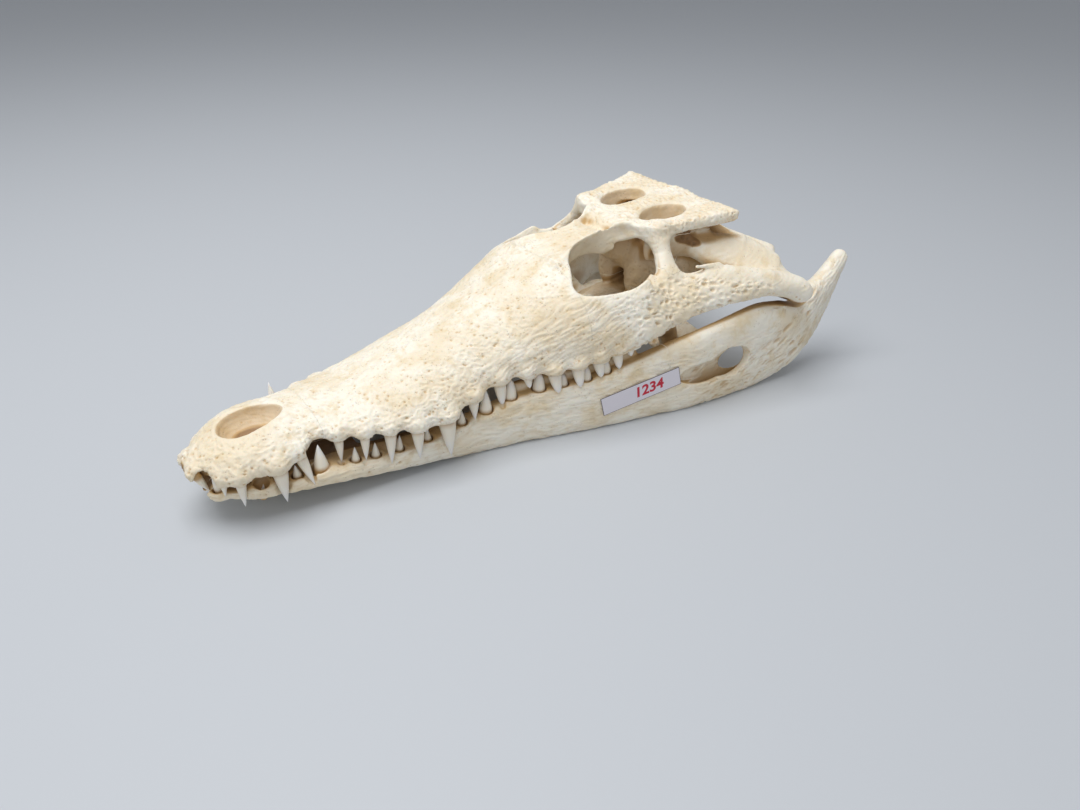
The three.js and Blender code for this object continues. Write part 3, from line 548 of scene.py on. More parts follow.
NEW_TOOTH = ((21.8, -15.6, 11.5), (0.1, -0.1, 1), 3.2, 1.3)  # grows in the empty socket
INNER_ROW = 115  # from here back the lower teeth stand inside the upper ones, and all are blunter
TIP_ROUND = 14.0  # length over which the snout tip is rounded, mm


# ------------------------------------------------------------------ upper skull


@dataclass
class Cranium:
    """The upper skull: its sizes in mm, and the field that they make."""

    half_width: Pairs = (
        (0, 9), (8, 15), (15, 18.5), (24, 21), (31, 21.3), (37, 19.5), (43, 17.5), (50, 20), (60, 24),
        (72, 27), (80, 29.5), (88, 31), (96, 30.5), (108, 29.3), (118, 29.8), (130, 33), (145, 38),
        (160, 42), (175, 45), (192, 48),
    )
    top: Pairs = (
        (0, 26.5), (8, 30), (17, 33.3), (28, 35), (40, 34.5), (50, 34.5), (65, 36), (75, 38.5),
        (85, 41.7), (95, 44.7), (110, 49.7), (123, 54.8), (134, 59.3), (148, 65.3), (161, 69.5),
        (175, 72.5), (192, 75),
    )
    margin: Pairs = (
        (0, 19), (10, 18.5), (22, 19.5), (30, 20.5), (37, 22), (43, 24.5), (50, 24), (60, 23.5),
        (72, 22.5), (80, 21.5), (88, 21), (96, 23), (106, 26), (116, 29), (124, 30), (132, 29.5),
        (145, 30), (160, 32), (170, 34.5), (180, 37), (192, 41),
    )
    squareness: Pairs = ((0, 2), (50, 1.9), (90, 1.85), (120, 1.95), (140, 2.3), (160, 2.7), (192, 2.8))
    face_end: float = 192.0
    widest: float = 3.5  # height of the snout's widest line over the tooth margin
    end_rounding: tuple[float, float] = (3.0, 14.0)  # at the snout tip and at the cheeks
    tooth_inset: float = 1.3
    nearest_tooth: float = 2.5  # least distance of a tooth from the middle
    table_front: float = 199.0
    table_back: float = 241.0
    table_half: tuple[float, float] = (26.2, 36.5)  # here and below: at the front, at the back
    table_top: tuple[float, float] = (77.5, 80.8)
    table_thick: float = 6.0
    table_dish: float = 1.5  # how far the table's middle lies below its sides
    table_bulge: float = 2.5  # how far its back edge stands out in the middle
    table_lead: float = 8.0  # how far it runs on before its front corners
    table_taper: float = 1.7  # how fast its sides draw in there
    condyle: Triple = (261.0, 57.5, 45.5)
    bite_air: float = 0.7  # air round the lower teeth where they pass the upper jaw
    orbit: Blend = Blend((
        Ellipsoid((177, 24, 66.5), (18, 16.3, 21.5), -0.6), Ellipsoid((184, 19, 74), (12.5, 9.2, 10)),
        Ellipsoid((166, 28.5, 63), (11, 7.2, 8)),
    ), 5.0)
    naris: Blend = Blend((
        Ellipsoid((23, 0, 34.5), (9.3, 8.5, 9.5)), Ellipsoid((31, 0, 37), (7.6, 5.4, 9)),
    ), 6.0)
    temporal: Ellipsoid = Ellipsoid((216, 13.2, 79.5), (12, 7.6, 12))

    def __post_init__(self) -> None:
        """Makes the curves along the snout."""
        self.width_at = Profile(self.half_width)
        self.margin_at = Profile(self.margin)
        self.top_at = Profile(self.top)
        self.power_at = Profile(self.squareness)

    def teeth(self, side: int) -> list[Tooth]:
        """Teeth of one side (-1 is left), hanging from the tooth margin."""
        made = []
        for x, length, radius, lean, spread in UPPER_ROWS:
            behind_tip = min(x / TIP_ROUND, 1.0)
            half = float(self.width_at(np.array(x))) * math.sqrt(1 - (1 - behind_tip) ** 2)
            y = side * max(half - 0.35 * radius - self.tooth_inset, self.nearest_tooth)
            base = (x, y, float(self.margin_at(np.array(x))) + 1)
            made.append(Tooth(base, (lean, side * spread, -1), length, radius))
        return made

    def face(self, x: np.ndarray, y: np.ndarray, z: np.ndarray) -> np.ndarray:
        """Snout and face from the rounded tip to the cheeks."""
        ahead = np.maximum(TIP_ROUND - x, 0) / (TIP_ROUND + 0.5)
        rounding = np.sqrt(np.maximum(1 - ahead**2, 0.02))
        margin = self.margin_at(x)
        middle = margin + self.widest
        half = self.width_at(x) * rounding
        rise = (self.top_at(x) - middle) * (0.45 + 0.55 * rounding)
        sink = self.widest * (0.6 + 0.4 * rounding)
        upper = rounded_section(y, z - middle, half, rise, self.power_at(x))
        lower = rounded_section(y, z - middle, half, sink, 3.0)
        section = np.where(z > middle, upper, lower)
        ends = np.maximum(-x, x - self.face_end)
        at_tip, at_cheeks = self.end_rounding
        reach = np.where(x > self.face_end / 2, at_cheeks, at_tip)
        return -joined(-section, -ends, reach)

    def table(self, x: np.ndarray, y: np.ndarray, z: np.ndarray) -> np.ndarray:
        """Slab of the skull table, wider at the back, with squared corners."""
        along = (x - self.table_front) / (self.table_back - self.table_front)
        half = self.table_half[0] + (self.table_half[1] - self.table_half[0]) * along
        inward = 1 - y / half
        top = self.table_top[0] + (self.table_top[1] - self.table_top[0]) * along
        top = top - self.table_dish * np.maximum(inward, 0)
        front = self.table_front - self.table_lead - x
        back = x - self.table_back - self.table_bulge * inward
        side = y - half + self.table_taper * np.maximum(self.table_front - x, 0)
        plan = np.maximum(np.maximum(side, back), front)
        slab = np.maximum(z - top, top - self.table_thick - z)
        return -joined(-plan, -slab, 3.0)

    def inner_hollows(self, half: Volume) -> None:
        """Vault of the palate, and the space between and below the eyes."""
        vault = bar(
            ((20, 0, 12), (9, 8.5), CROSSWISE),
            ((43, 0, 16), (9, 9), CROSSWISE),
            ((90, 0, 13), (21, 10.5), CROSSWISE),
            ((125, 0, 20), (20, 11), CROSSWISE),
        )
        eye_space = Ellipsoid((178, 0, 49), (24, 22, 15))
        half.carve(vault, 3)
        half.carve(eye_space, 6)

    def braincase(self, half: Volume) -> None:
        """Box round the brain, the muscle rooms beside it, and the walls between the rooms and the box."""
        brain_box = bar(
            ((196, 0, 66), (8, 6)), ((212, 0, 62), (15, 9)), ((238, 0, 59), (19, 13)),
            ((243, 0, 58), (17, 13)),
        )
        rooms = (
            Ellipsoid((170, 23, 36), (25, 10.5, 30)),
            Ellipsoid((212, 26, 50), (19, 14, 17)),
            Ellipsoid((222, 32, 38), (26, 13, 18), 0.2),
            Ellipsoid((190, 20, 57), (8, 14, 9.5)),  # opens the eye's room towards the back
        )
        lower_wall = bar(((206, 9, 52), (13, 5)), ((226, 14, 50), (14, 6)), ((246, 22, 50), (12, 6)))
        ear_wall = bar(((203, 20, 68), (8, 2.5)), ((232, 23.5, 66), (8, 3)))
        half.join(brain_box, 6)
        for room in rooms:
            half.carve(room, 3)
        half.join(lower_wall, 4)
        half.join(ear_wall, 2)

    def hinge_side(self, half: Volume) -> None:
        """Cheek bar, quadrate with its condyle, and the wing behind the ear."""
        cx, cy, cz = self.condyle
        cheek_bar = bar(
            ((150, 33, 45), (7, 3), (0, -0.5, 0.85)), ((178, 41, 48), (11, 4.2), (0, -0.6, 0.8)),
            ((204, 42.5, 52), (10.5, 3.8), (0, -0.65, 0.76)),
            ((224, 49, 54), (8.5, 3.6), (-0.1, -0.6, 0.78)),
            ((243, 56, 52.3), (5.8, 4), (-0.2, -0.55, 0.8)), ((258, 60, 47), (4.5, 4.5), (0, -0.5, 0.85)),
        )
        quadrate = bar(
            ((226, 25, 64), (6, 4.5), (-0.3, 0.7, -0.65)),
            ((240, 39, 58.5), (13, 4), (-0.36, 0.66, -0.66)),
            ((252, 49.5, 52.5), (11, 4.4), (-0.4, 0.7, -0.6)),
            ((cx - 2, cy - 2, cz + 1), (8.5, 5), (-0.15, 0.95, 0.1)),
        )
        hinge_roll = rod((cx - 1, cy - 7, cz - 1.5), (cx, cy + 4, cz - 0.5), 4.8, 4.8)
        ear_wing = bar(((238, 6, 64), (10, 4.5)), ((246, 26, 61), (6.5, 3.6)), ((260, 40, 57.5), (4, 3)))
        half.join(cheek_bar, 5)
        half.join(quadrate, 4)
        half.join(hinge_roll, 3)
        half.join(ear_wing, 3)

    def palate_side(self, half: Volume) -> None:
        """Palatines, pillars and the wings that hang beside the jaw muscles."""
        palatine = bar(
            ((118, 0, 34), (13, 5), CROSSWISE), ((150, 0, 34), (9.5, 4.5), CROSSWISE),
            ((185, 0, 33), (9.5, 4.5), CROSSWISE), ((208, 0, 34), (16, 5), CROSSWISE),
            ((228, 0, 40), (10, 6), CROSSWISE),
        )
        pillar = bar(((157, 10.5, 66), (4.5, 3), CROSSWISE), ((158, 8, 36), (3.5, 2.8), CROSSWISE))
        wing = bar(
            ((206, 5, 34), (12, 4), LENGTHWISE), ((210, 22, 28), (12, 2.8), (1, 0, 0.15)),
            ((214, 36, 21.5), (11, 3), (1, 0, 0.35)),
        )
        wing_arm = bar(
            ((207, 34, 24), (4.5, 3), LENGTHWISE), ((200, 38, 34), (4.5, 3.2), LENGTHWISE),
            ((190, 41, 44), (8, 3.5), LENGTHWISE),
        )
        half.join(palatine, 4)
        half.join(pillar, 3)
        half.join(wing, 4)
        half.join(wing_arm, 4)

    def neck_joint(self, half: Volume) -> None:
        """Round knob on which the skull turned on the neck."""
        half.join(Ellipsoid((254.5, 0, 59.5), (6, 5.5, 4.8)), 1.5)

    def openings(self, half: Volume) -> None:
        """Windows of eye, nose, temple, ear and spine, with the bars beside the eye's."""
        lower_temporal = Ellipsoid((211, 35.5, 66), (9.5, 12, 7.5))
        rear_bar = bar(
            ((203, 24, 73.5), (5, 4.5), LENGTHWISE), ((202, 29.3, 66.5), (4, 3.4), LENGTHWISE),
            ((200, 36, 59), (5.5, 3.6), LENGTHWISE),
        )
        brow = bar(
            ((158, 14.5, 64.5), (4, 2.2)), ((170, 11.5, 69), (4, 2.4)), ((183, 10.5, 72.3), (4, 2.6)),
            ((196, 13, 73.5), (4, 2.8)),
        )
        eye_corner = Ellipsoid((190, 40, 65.5), (6, 6, 6))
        ear = Ellipsoid((227, 34, 69.5), (9, 9, 3.6))
        spinal_hole = Ellipsoid((251, 0, 67), (7, 5, 4))
        half.carve(lower_temporal, 2)
        half.join(rear_bar, 4)
        half.join(brow, 3)
        half.carve(eye_corner, 1.2)
        half.carve(self.orbit, 1.5)
        half.carve(self.naris, 1.8)
        half.carve(self.temporal, 1.8)
        half.carve(ear, 1.5)
        half.carve(spinal_hole, 1.5)

    def fine_parts(self, half: Volume) -> None:
        """The ear's inner recess, the spine in the lower temporal window, and the notches at the tip."""
        ear_recess = (Ellipsoid((217, 30.5, 70.3), (4, 7, 3.2)), Ellipsoid((225, 29.5, 69.8), (3, 6, 2.6)))
        spine = rod((222.5, 43.5, 61), (211, 41.6, 62.4), 1.4, 0.7)
        tip_notch = Ellipsoid((4.6, 9.5, 20), (3.2, 5.5, 4.2))
        for part in ear_recess:
            half.carve(part, 0.6)
        half.join(spine, 1.5)
        half.carve(tip_notch, 1.2)

    def alveoli(self, half: Volume) -> None:
        """Swellings of the tooth margin and a narrow ring of air round each crown."""
        swelling, air = 1.5, 0.35
        for tooth in self.teeth(1):
            x, y, z = tooth.base
            wide = tooth.radius + swelling
            half.join(Ellipsoid((x, y + 0.2, z + 2.2), (wide, wide, 3.4)), 2.5)
        for tooth in self.teeth(1):
            half.carve(rod(tooth.along(-0.1), tooth.along(0.3), tooth.radius + air, tooth.radius), 0.6)

    def volume(self, lower_teeth: Iterable[Tooth]) -> Volume:
        """The whole field.

        Args:
            lower_teeth: Teeth of the lower jaw, right side, which need room.

        Returns:
            The field of both halves.
        """
        low, high = (-3, 0, 8), (273, 68, 86)
        half = Volume(low, high)
        front = half.window(np.array(low), np.array([self.face_end + 16, *high[1:]]))
        half.values[front] = self.face(*half.axes(front))
        self.inner_hollows(half)
        back = half.window(np.array([180, 0, 60]), np.array([262, *high[1:]]))
        half.values[back] = joined(half.values[back], self.table(*half.axes(back)), 4)
        self.braincase(half)
        self.hinge_side(half)
        self.palate_side(half)
        self.neck_joint(half)
        self.openings(half)
        self.alveoli(half)
        self.fine_parts(half)
        for tooth in lower_teeth:
            half.carve(tooth.room(self.bite_air), 0.8)
        return half.mirrored()


# ------------------------------------------------------------------ lower jaw


@dataclass
class Mandible:
    """The lower jaw: its sizes in mm, and the field that they make."""

    middle: Pairs = (
        (5, 5), (14, 10), (28, 14.5), (45, 17.5), (60, 19), (80, 21), (98, 23), (113, 25.5), (129, 29.7),
        (145, 34.7), (162, 40), (188, 46.5), (203, 50.5), (221, 53.3), (240, 54.8), (262, 55.5),
        (278, 54), (292, 51.5), (304, 50),
    )
    bottom: Pairs = (
        (5, 11.5), (14, 10), (28, 9), (45, 7.5), (60, 5.5), (80, 3), (98, 0.5), (113, -0.8),
        (130, -0.8), (180, -0.8), (230, -0.8), (245, -0.5), (262, 4), (274, 8.5), (285, 15),
        (295, 25), (304, 36),
    )
    top: Pairs = (
        (5, 14.5), (14, 14.5), (28, 14), (45, 15.5), (60, 13.5), (80, 13), (98, 15.7), (112, 19.5),
        (124, 22), (135, 23.3), (155, 24.5), (168, 27.5), (195, 34.5), (221, 39.5), (240, 42),
        (255, 39.6), (266, 36.8), (276, 42), (285, 42), (295, 46), (304, 51),
    )
    half_thickness: Pairs = (
        (5, 4.5), (28, 5.5), (98, 5.2), (145, 5), (188, 5), (221, 5.2), (245, 5.5), (270, 7),
        (285, 5.5), (304, 4.5),
    )
    front: float = 4.0
    back: float = 296.0
    window_floor: float = 50.8  # how deep the window in the outer wall is cut, from the middle
    bite_air: float = 0.6  # air round the upper teeth where they pass the lower jaw

    def __post_init__(self) -> None:
        """Makes the curves along the jaw."""
        self.middle_at = Profile(self.middle)
        self.bottom_at = Profile(self.bottom)
        self.top_at = Profile(self.top)
        self.thickness_at = Profile(self.half_thickness)

    def teeth(self, side: int) -> list[Tooth]:
        """Teeth of one side (-1 is left), standing on the jaw's upper edge."""
        rows = list(LOWER_ROWS)
        if side > 0:
            rows[LONG_FANG_PLACE] = LONG_FANG
        made = []
        for x, length, radius, lean in rows:
            outward = 0.22 if (x, length) == LONG_FANG[:2] else 0.05
            shift = 1.5 if x < INNER_ROW else -0.3
            y = side * (float(self.middle_at(np.array(x))) + shift)
            base = (x, y, float(self.top_at(np.array(x))) - 0.5)
            made.append(Tooth(base, (lean, side * outward, 1), length, radius))
        return made

    def ramus(self, x: np.ndarray, y: np.ndarray, z: np.ndarray) -> np.ndarray:
        """One side of the jaw as a plain beam."""
        bottom, top = self.bottom_at(x), self.top_at(x)
        centre = (bottom + top) / 2
        beam = rounded_section(
            z - centre, y - self.middle_at(x), (top - bottom) / 2, self.thickness_at(x), 3.0
        )
        return -joined(-beam, -np.maximum(self.front - x, x - self.back), 4.0)

    def window(self, half: Volume) -> None:
        """Window in the outer wall, and behind it the hollow that opens on the inner side."""
        outer = (Ellipsoid((210, 60, 18), (15, 30, 5.3)), Ellipsoid((222, 60, 19.8), (11.5, 30, 7.4)))
        hollow = Ellipsoid((225, 53, 15.5), (23, 2.8, 10))
        inner = Ellipsoid((236, 48, 15.8), (13.5, 4.5, 7))
        for outline in outer:
            half.carve(Pocket(outline, self.window_floor), 0.6)
        half.carve(hollow, 0.6)
        half.carve(inner, 0.8)

    def chin(self, half: Volume) -> None:
        """The chin where both sides grow together, and the ridges that run back from it inside."""
        chin = bar(
            ((11, 0, 11.8), (7, 3.2), CROSSWISE), ((26, 0, 11.5), (13, 3.6), CROSSWISE),
            ((45, 0, 10.3), (16, 4), CROSSWISE), ((60, 0, 9), (16, 4), CROSSWISE),
        )
        lower_ridge = bar(
            ((52, 11.5, 9.5), (4.6, 4.5)), ((80, 15.5, 8.5), (5, 4.8)), ((114, 20.5, 9), (5, 4)),
        )
        upper_ridge = bar(
            ((126, 24.8, 23), (3, 2)), ((136, 27.4, 24.8), (3, 2)), ((150, 31.8, 26.3), (3, 2)),
            ((165, 36.6, 28.8), (3, 2)), ((178, 40, 30.5), (3, 2)),
        )
        half.join(chin, 4)
        half.join(lower_ridge, 4)
        half.join(upper_ridge, 2)

    def prong(self, half: Volume) -> None:
        """Prong behind the hinge, with the groove along its inner side."""
        prong = bar(
            ((283, 53, 34), (7.5, 5)), ((295, 51.5, 40), (7, 4.5), (-0.3, 0, 1)),
            ((303, 50, 48), (4.5, 4), (-1, 0, 1)),
        )
        groove = bar(
            ((276, 50.5, 44), (2, 2.2)), ((291, 49.5, 49), (2.2, 2.2)), ((301, 48, 57), (1.2, 1.6)),
        )
        half.join(prong, 3)
        half.carve(groove, 1.5)

    def sockets(self, volume: Volume) -> None:
        """Raised rims and open sockets, in which the teeth stand with air round them."""
        rim, air, bottom = 1.7, 0.75, 0.72
        teeth = self.teeth(1)
        for tooth in teeth:
            x, y, z = tooth.base
            wide = tooth.radius + rim
            volume.join(Ellipsoid((x, y - 0.2, z - 1.6), (wide, wide, 2.8)), 2)
        for tooth in teeth:
            wide = tooth.radius + air
            volume.carve(rod(tooth.along(-0.25), tooth.along(0.4), bottom * wide, wide), 0.8)

    def empty_socket(self, whole: Volume) -> None:
        """Socket at the front of the left side that has lost its tooth, with its swollen rim."""
        whole.join(Ellipsoid((21.8, -14, 13.6), (6.3, 4.8, 3.8)), 2)
        whole.carve(rod((21.8, -14.6, 14), (21.6, -17.2, 19), 2.7, 3.4), 0.8)

    def volume(self, upper_teeth: Iterable[Tooth]) -> Volume:
        """The whole field.

        Args:
            upper_teeth: Teeth of the upper jaw, right side, which need room.

        Returns:
            The field of both sides, flat where it lies on the floor.
        """
        half = Volume((0, 0, -2), (311, 68, 60))
        half.values[:] = self.ramus(*half.axes())
        self.prong(half)
        self.window(half)
        self.chin(half)
        self.sockets(half)
        for tooth in upper_teeth:
            half.carve(tooth.room(self.bite_air), 1)
        whole = half.mirrored()
        self.empty_socket(whole)
        floor = np.broadcast_to(-whole.axes()[2], whole.values.shape)
        whole.values = np.maximum(whole.values, floor).astype(np.float32)
        return whole


# ------------------------------------------------------------------ relief of the bone


@dataclass(frozen=True)
class Pits:
    """Crowded uneven pits with narrow walls, sizes in mm."""

    pitch: float
    depth: float
    seed: int

    def __call__(self, points: np.ndarray) -> np.ndarray:
        """Pattern of the pits, 1 in their middle and 0 on the walls."""
        bend = np.stack([Noise.smooth(points / (1.4 * self.pitch), self.seed + k) for k in (1, 2, 3)], 1)
        nearest, second, chance = Noise.cells((points + 0.7 * self.pitch * bend) / self.pitch, self.seed)
        bowl = 1 - np.clip(nearest / 0.75, 0, 1) ** 2
        return ramp(second - nearest, 0.02, 0.42) * bowl * (0.35 + 0.65 * chance)


@dataclass(frozen=True)
class Dots:
    """Scattered round pits, sizes in mm; share is the part of the possible places that has one."""

    pitch: float
    radius: float
    share: float
    depth: float
    seed: int

    def __call__(self, points: np.ndarray) -> np.ndarray:
        """Pattern of the pits, 1 in their middle and 0 outside."""
        distance, _, chance = Noise.cells(points / self.pitch, self.seed)
        size = self.radius * (0.55 + 0.45 * chance / max(self.share, 0.01))
        return np.where(chance < self.share, 1 - ramp(distance * self.pitch, 0.35 * size, size), 0)


@dataclass(frozen=True)
class Swell:
    """Soft unevenness, sizes in mm."""

    pitch: float
    depth: float
    seed: int

    def __call__(self, points: np.ndarray) -> np.ndarray:
        """Height at each place."""
        return Noise.layered(points / self.pitch, self.seed, 2) * self.depth


@dataclass(frozen=True)
class Relief:
    """Ornament of crocodile bone, in mm: wrinkles, streaks, pits and the mouths of small vessels."""

    wrinkle_pitch: float = 2.5
    wrinkle_depth: float = 0.58
    streak_pitch: float = 1.6
    streak_length: float = 12.0
    flank_streaks: float = 0.34
    smooth_streaks: float = 0.12
    jaw_streaks: float = 0.38
    cheek_pits: Pits = Pits(2.35, 1.35, 31)
    table_pits: Pits = Pits(2.7, 0.85, 35)
    ear_pits: Pits = Pits(2.2, 1.3, 37)
    jaw_pits: Pits = Pits(2.9, 0.9, 36)
    snout_dots: Dots = Dots(1.9, 0.8, 0.6, 0.5, 33)
    snout_vessels: Dots = Dots(3.4, 0.95, 0.75, 0.55, 41)
    jaw_vessels: Dots = Dots(3.2, 0.8, 0.42, 0.5, 42)
    skull_swell: Swell = Swell(17, 0.7, 51)
    rim_swell: Swell = Swell(9, 0.5, 57)
    jaw_swell: Swell = Swell(15, 0.5, 53)
    grain: Swell = Swell(2.2, 0.1, 71)

    def wrinkles(self, points: np.ndarray) -> np.ndarray:
        """Winding ridges, 0 in the furrows and 1 on the crests."""
        bend = np.stack([Noise.smooth(points / 6, seed) for seed in (3, 4, 5)], 1) * 2.2
        wave = Noise.smooth((points + bend) / self.wrinkle_pitch, 11)
        fine = Noise.smooth((points + bend) / (0.45 * self.wrinkle_pitch), 12)
        return 1 - np.clip(np.abs(wave) * 3.4, 0, 1) * 0.65 - np.clip(np.abs(fine) * 2.8, 0, 1) * 0.35

    def streaks(self, points: np.ndarray, rise: np.ndarray) -> np.ndarray:
        """Long furrows that run along the bone, 0 in the furrows and 1 between them.

        Args:
            points: Places in working mm.
            rise: Height of each place over the line that the streaks follow.

        Returns:
            One value for each place.
        """
        wander = Noise.smooth(points / 14, 21) * 3
        flow = np.stack(
            [points[:, 0] / self.streak_length, points[:, 1] / 7, (rise + wander) / self.streak_pitch], 1
        )
        return np.clip(np.abs(Noise.layered(flow, 22, 2)) * 3.4, 0, 1)


@dataclass
class SkullZones:
    """How far each place of the upper skull belongs to each kind of surface, from 0 to 1."""

    rims: np.ndarray
    table: np.ndarray
    cheek: np.ndarray
    smooth: np.ndarray
    flank: np.ndarray
    snout: np.ndarray


class Jaw(Enum):
    """Which of the two jaws a surface belongs to."""

    UPPER = "upper"
    LOWER = "lower"


class BoneSurface:
    """Fine surface of one jaw, with its relief and the marks that its material reads."""

    relief = Relief()

    def __init__(self, jaw: Jaw, volume: Volume, other: Volume, teeth: Sequence[Tooth]) -> None:
        """Makes the surface.

        Args:
            jaw: Which jaw it is.
            volume: The jaw's field.
            other: The other jaw's field, which closes the mouth.
            teeth: The jaw's own teeth, round whose roots shade is painted.
        """
        self.jaw = jaw
        self.fields = (volume, other)
        self.teeth = teeth
        self.object = volume.surface(f"{jaw.value}_jaw_bone")

    def hollowness(self, points: np.ndarray, normals: np.ndarray) -> np.ndarray:
        """How enclosed each place is: 0 on open bone, 1 deep in a cavity; the bone's colour darkens with it
        as painted shade.
        """
        total = np.zeros(len(points))
        for reach, weight in ((3.0, 0.2), (7.0, 0.35), (13.0, 0.45)):
            ahead = points + normals * reach
            free = np.minimum(self.fields[0].at(ahead), self.fields[1].at(ahead))
            total += weight * (1 - np.clip(free / reach, 0, 1))
        return total

    def carve_relief(self) -> None:
        """Moves the surface in and out, and stores how hollow, how furrowed and how near a tooth root each
        place is, the masks of painted shade.
        """
        points, normals = points_of(self.object), normals_of(self.object)
        hollow = self.hollowness(points, normals)
        outside = 1 - ramp(hollow, 0.42, 0.75)
        if self.jaw is Jaw.UPPER:
            height, furrow = self.upper_height(points, normals)
        else:
            height, furrow = self.lower_height(points, normals)
        moved = points + normals * (height * outside + self.relief.grain(points))[:, None]
        moved[:, 2] = np.maximum(moved[:, 2], 0.0)
        resting = points[:, 2] < 0.05
        moved[resting] = points[resting]
        set_points(self.object, moved)
        # enclosure, the inside of the mouth and the skull's rooms all darken the bone as painted shade
        tints = (hollow, self.inside_mouth(points), self.room_shade(points))
        set_attribute(self.object, "hollow", np.maximum.reduce(tints))
        set_attribute(self.object, "furrow", furrow * outside)
        set_attribute(self.object, "socket_shade", self.painted_socket_shade(points))

    def skull_zones(self, points: np.ndarray, normals: np.ndarray) -> SkullZones:
        """Sorts the places of the upper skull by the kind of surface that they are on."""
        x, y, z = points[:, 0], np.abs(points[:, 1]), points[:, 2]
        rims = 1 - ramp(self.rim_distance(x, y, z), 0.4, 2.6)
        table = ramp(z, 72, 75) * ramp(x, 186, 196)
        ridge = np.interp(x, [168, 196, 215, 235, 250], [58, 59.5, 57.5, 54, 50])
        over_ridge = ramp(z, ridge - 1, ridge + 2)
        cheek = within(x, (166, 182), (236, 250)) * ramp(y, 34, 38) * (1 - over_ridge)
        cheek *= ramp(np.abs(normals[:, 1]), 0.15, 0.4) * (1 - 0.8 * rims)
        hinge = ramp(x, 238, 244)
        quadrate = np.maximum(ramp(x, 214, 222) * over_ridge, hinge) * (1 - table)
        bar_side = within(x, (190, 194), (222, 226)) * ramp(z, 58, 61) * (1 - table)
        smooth = np.maximum.reduce([quadrate, bar_side, rims])
        flank = ramp(x, 92, 122) * ramp(y, 22, 30) * (1 - ramp(z, 56, 66)) * (1 - cheek) * (1 - smooth)
        snout = (1 - cheek) * (1 - smooth) * (1 - 0.75 * flank)
        table_face = table * ramp(normals[:, 2], 0.3, 0.7) * (1 - rims)
        return SkullZones(rims, table_face, cheek, smooth, flank, snout)

    def upper_height(self, points: np.ndarray, normals: np.ndarray) -> tuple[np.ndarray, np.ndarray]:
        """Relief of the upper skull: height in mm, and how furrowed, for each place."""
        x, y, z = points[:, 0], np.abs(points[:, 1]), points[:, 2]
        relief, zones = self.relief, self.skull_zones(points, normals)
        wrinkle = relief.wrinkles(points)
        streak = relief.streaks(points, z - 0.42 * np.maximum(x - 100, 0))
        slanted = points @ np.array([[1, 0, 0.35], [0, 1, 0], [-0.35, 0, 1]]) * np.array([0.62, 1, 1])
        pits = relief.cheek_pits(slanted)
        top_pits = relief.table_pits(points)
        small = relief.snout_dots(points)
        near_margin = 1 - ramp(z - self.margin_line(x), 5, 14)
        vessel = relief.snout_vessels(points) * near_margin * (1 - zones.cheek)
        height = (
            zones.snout * relief.wrinkle_depth * (wrinkle - 0.6)
            - zones.snout * relief.snout_dots.depth * small
            + zones.flank * relief.flank_streaks * (streak - 0.8)
            - zones.cheek * (relief.cheek_pits.depth * pits - 0.35)
            - zones.table * (relief.table_pits.depth * top_pits - 0.2)
            - relief.snout_vessels.depth * vessel * (1 - zones.smooth)
            + relief.skull_swell(points) * (1 - zones.smooth)
            + relief.rim_swell(points) * zones.rims
            - zones.smooth * relief.smooth_streaks * (1 - streak)
            - self.ear_zone(x, y, z) * relief.ear_pits.depth * relief.ear_pits(points)
        )
        # where the bone's colour takes painted shade: furrows, pits and vessel mouths
        furrow = (
            zones.snout * (0.55 * (1 - wrinkle) + 0.65 * small)
            + zones.flank * ((1 - streak) * 0.5 + 0.3 * small)
            + zones.cheek * pits
            + zones.table * top_pits * 0.5
            + vessel
            + zones.smooth * 0.1 * (1 - streak)
        )
        return height, np.clip(furrow, 0, 1)

    @staticmethod
    def rim_distance(x: np.ndarray, y: np.ndarray, z: np.ndarray) -> np.ndarray:
        """Distance to the smooth hollows of nose, eye and temple, 0 on their walls."""
        hollows = (Cranium.naris, Cranium.temporal, Cranium.orbit)
        return np.minimum.reduce([hollow(x, y, z) for hollow in hollows])

    @staticmethod
    def ear_zone(x: np.ndarray, y: np.ndarray, z: np.ndarray) -> np.ndarray:
        """How far a place belongs to the spongy recess of the ear, from 0 to 1."""
        return 1 - ramp(Ellipsoid((219, 31.5, 69), (9, 9, 5))(x, y, z), -0.5, 0.8)

    def room_shade(self, points: np.ndarray) -> np.ndarray:
        """How much painted shade darkens the walls of the upper skull's hollows and inner rooms, from 0 to 1.
        """
        if self.jaw is Jaw.LOWER:
            return np.zeros(len(points))
        x, y, z = points[:, 0], np.abs(points[:, 1]), points[:, 2]
        nose = 0.62 * (1 - ramp(Cranium.naris(x, y, z), 0.2, 1.0))
        temple = 0.6 * (1 - ramp(Cranium.temporal(x, y, z), 0.2, 1.2))
        ear = self.ear_zone(x, y, z)
        muscle = 0.6 * within(x, (186, 193), (236, 242)) * (1 - ramp(y, 26, 32)) * (1 - ramp(z, 66, 73))
        return np.maximum.reduce([nose, temple, ear, muscle])

    @staticmethod
    def margin_line(x: np.ndarray) -> np.ndarray:
        """Height of the upper tooth margin along the skull."""
        return np.interp(x, [0, 45, 88, 124, 192, 260], [19, 24, 21, 30, 41, 45])

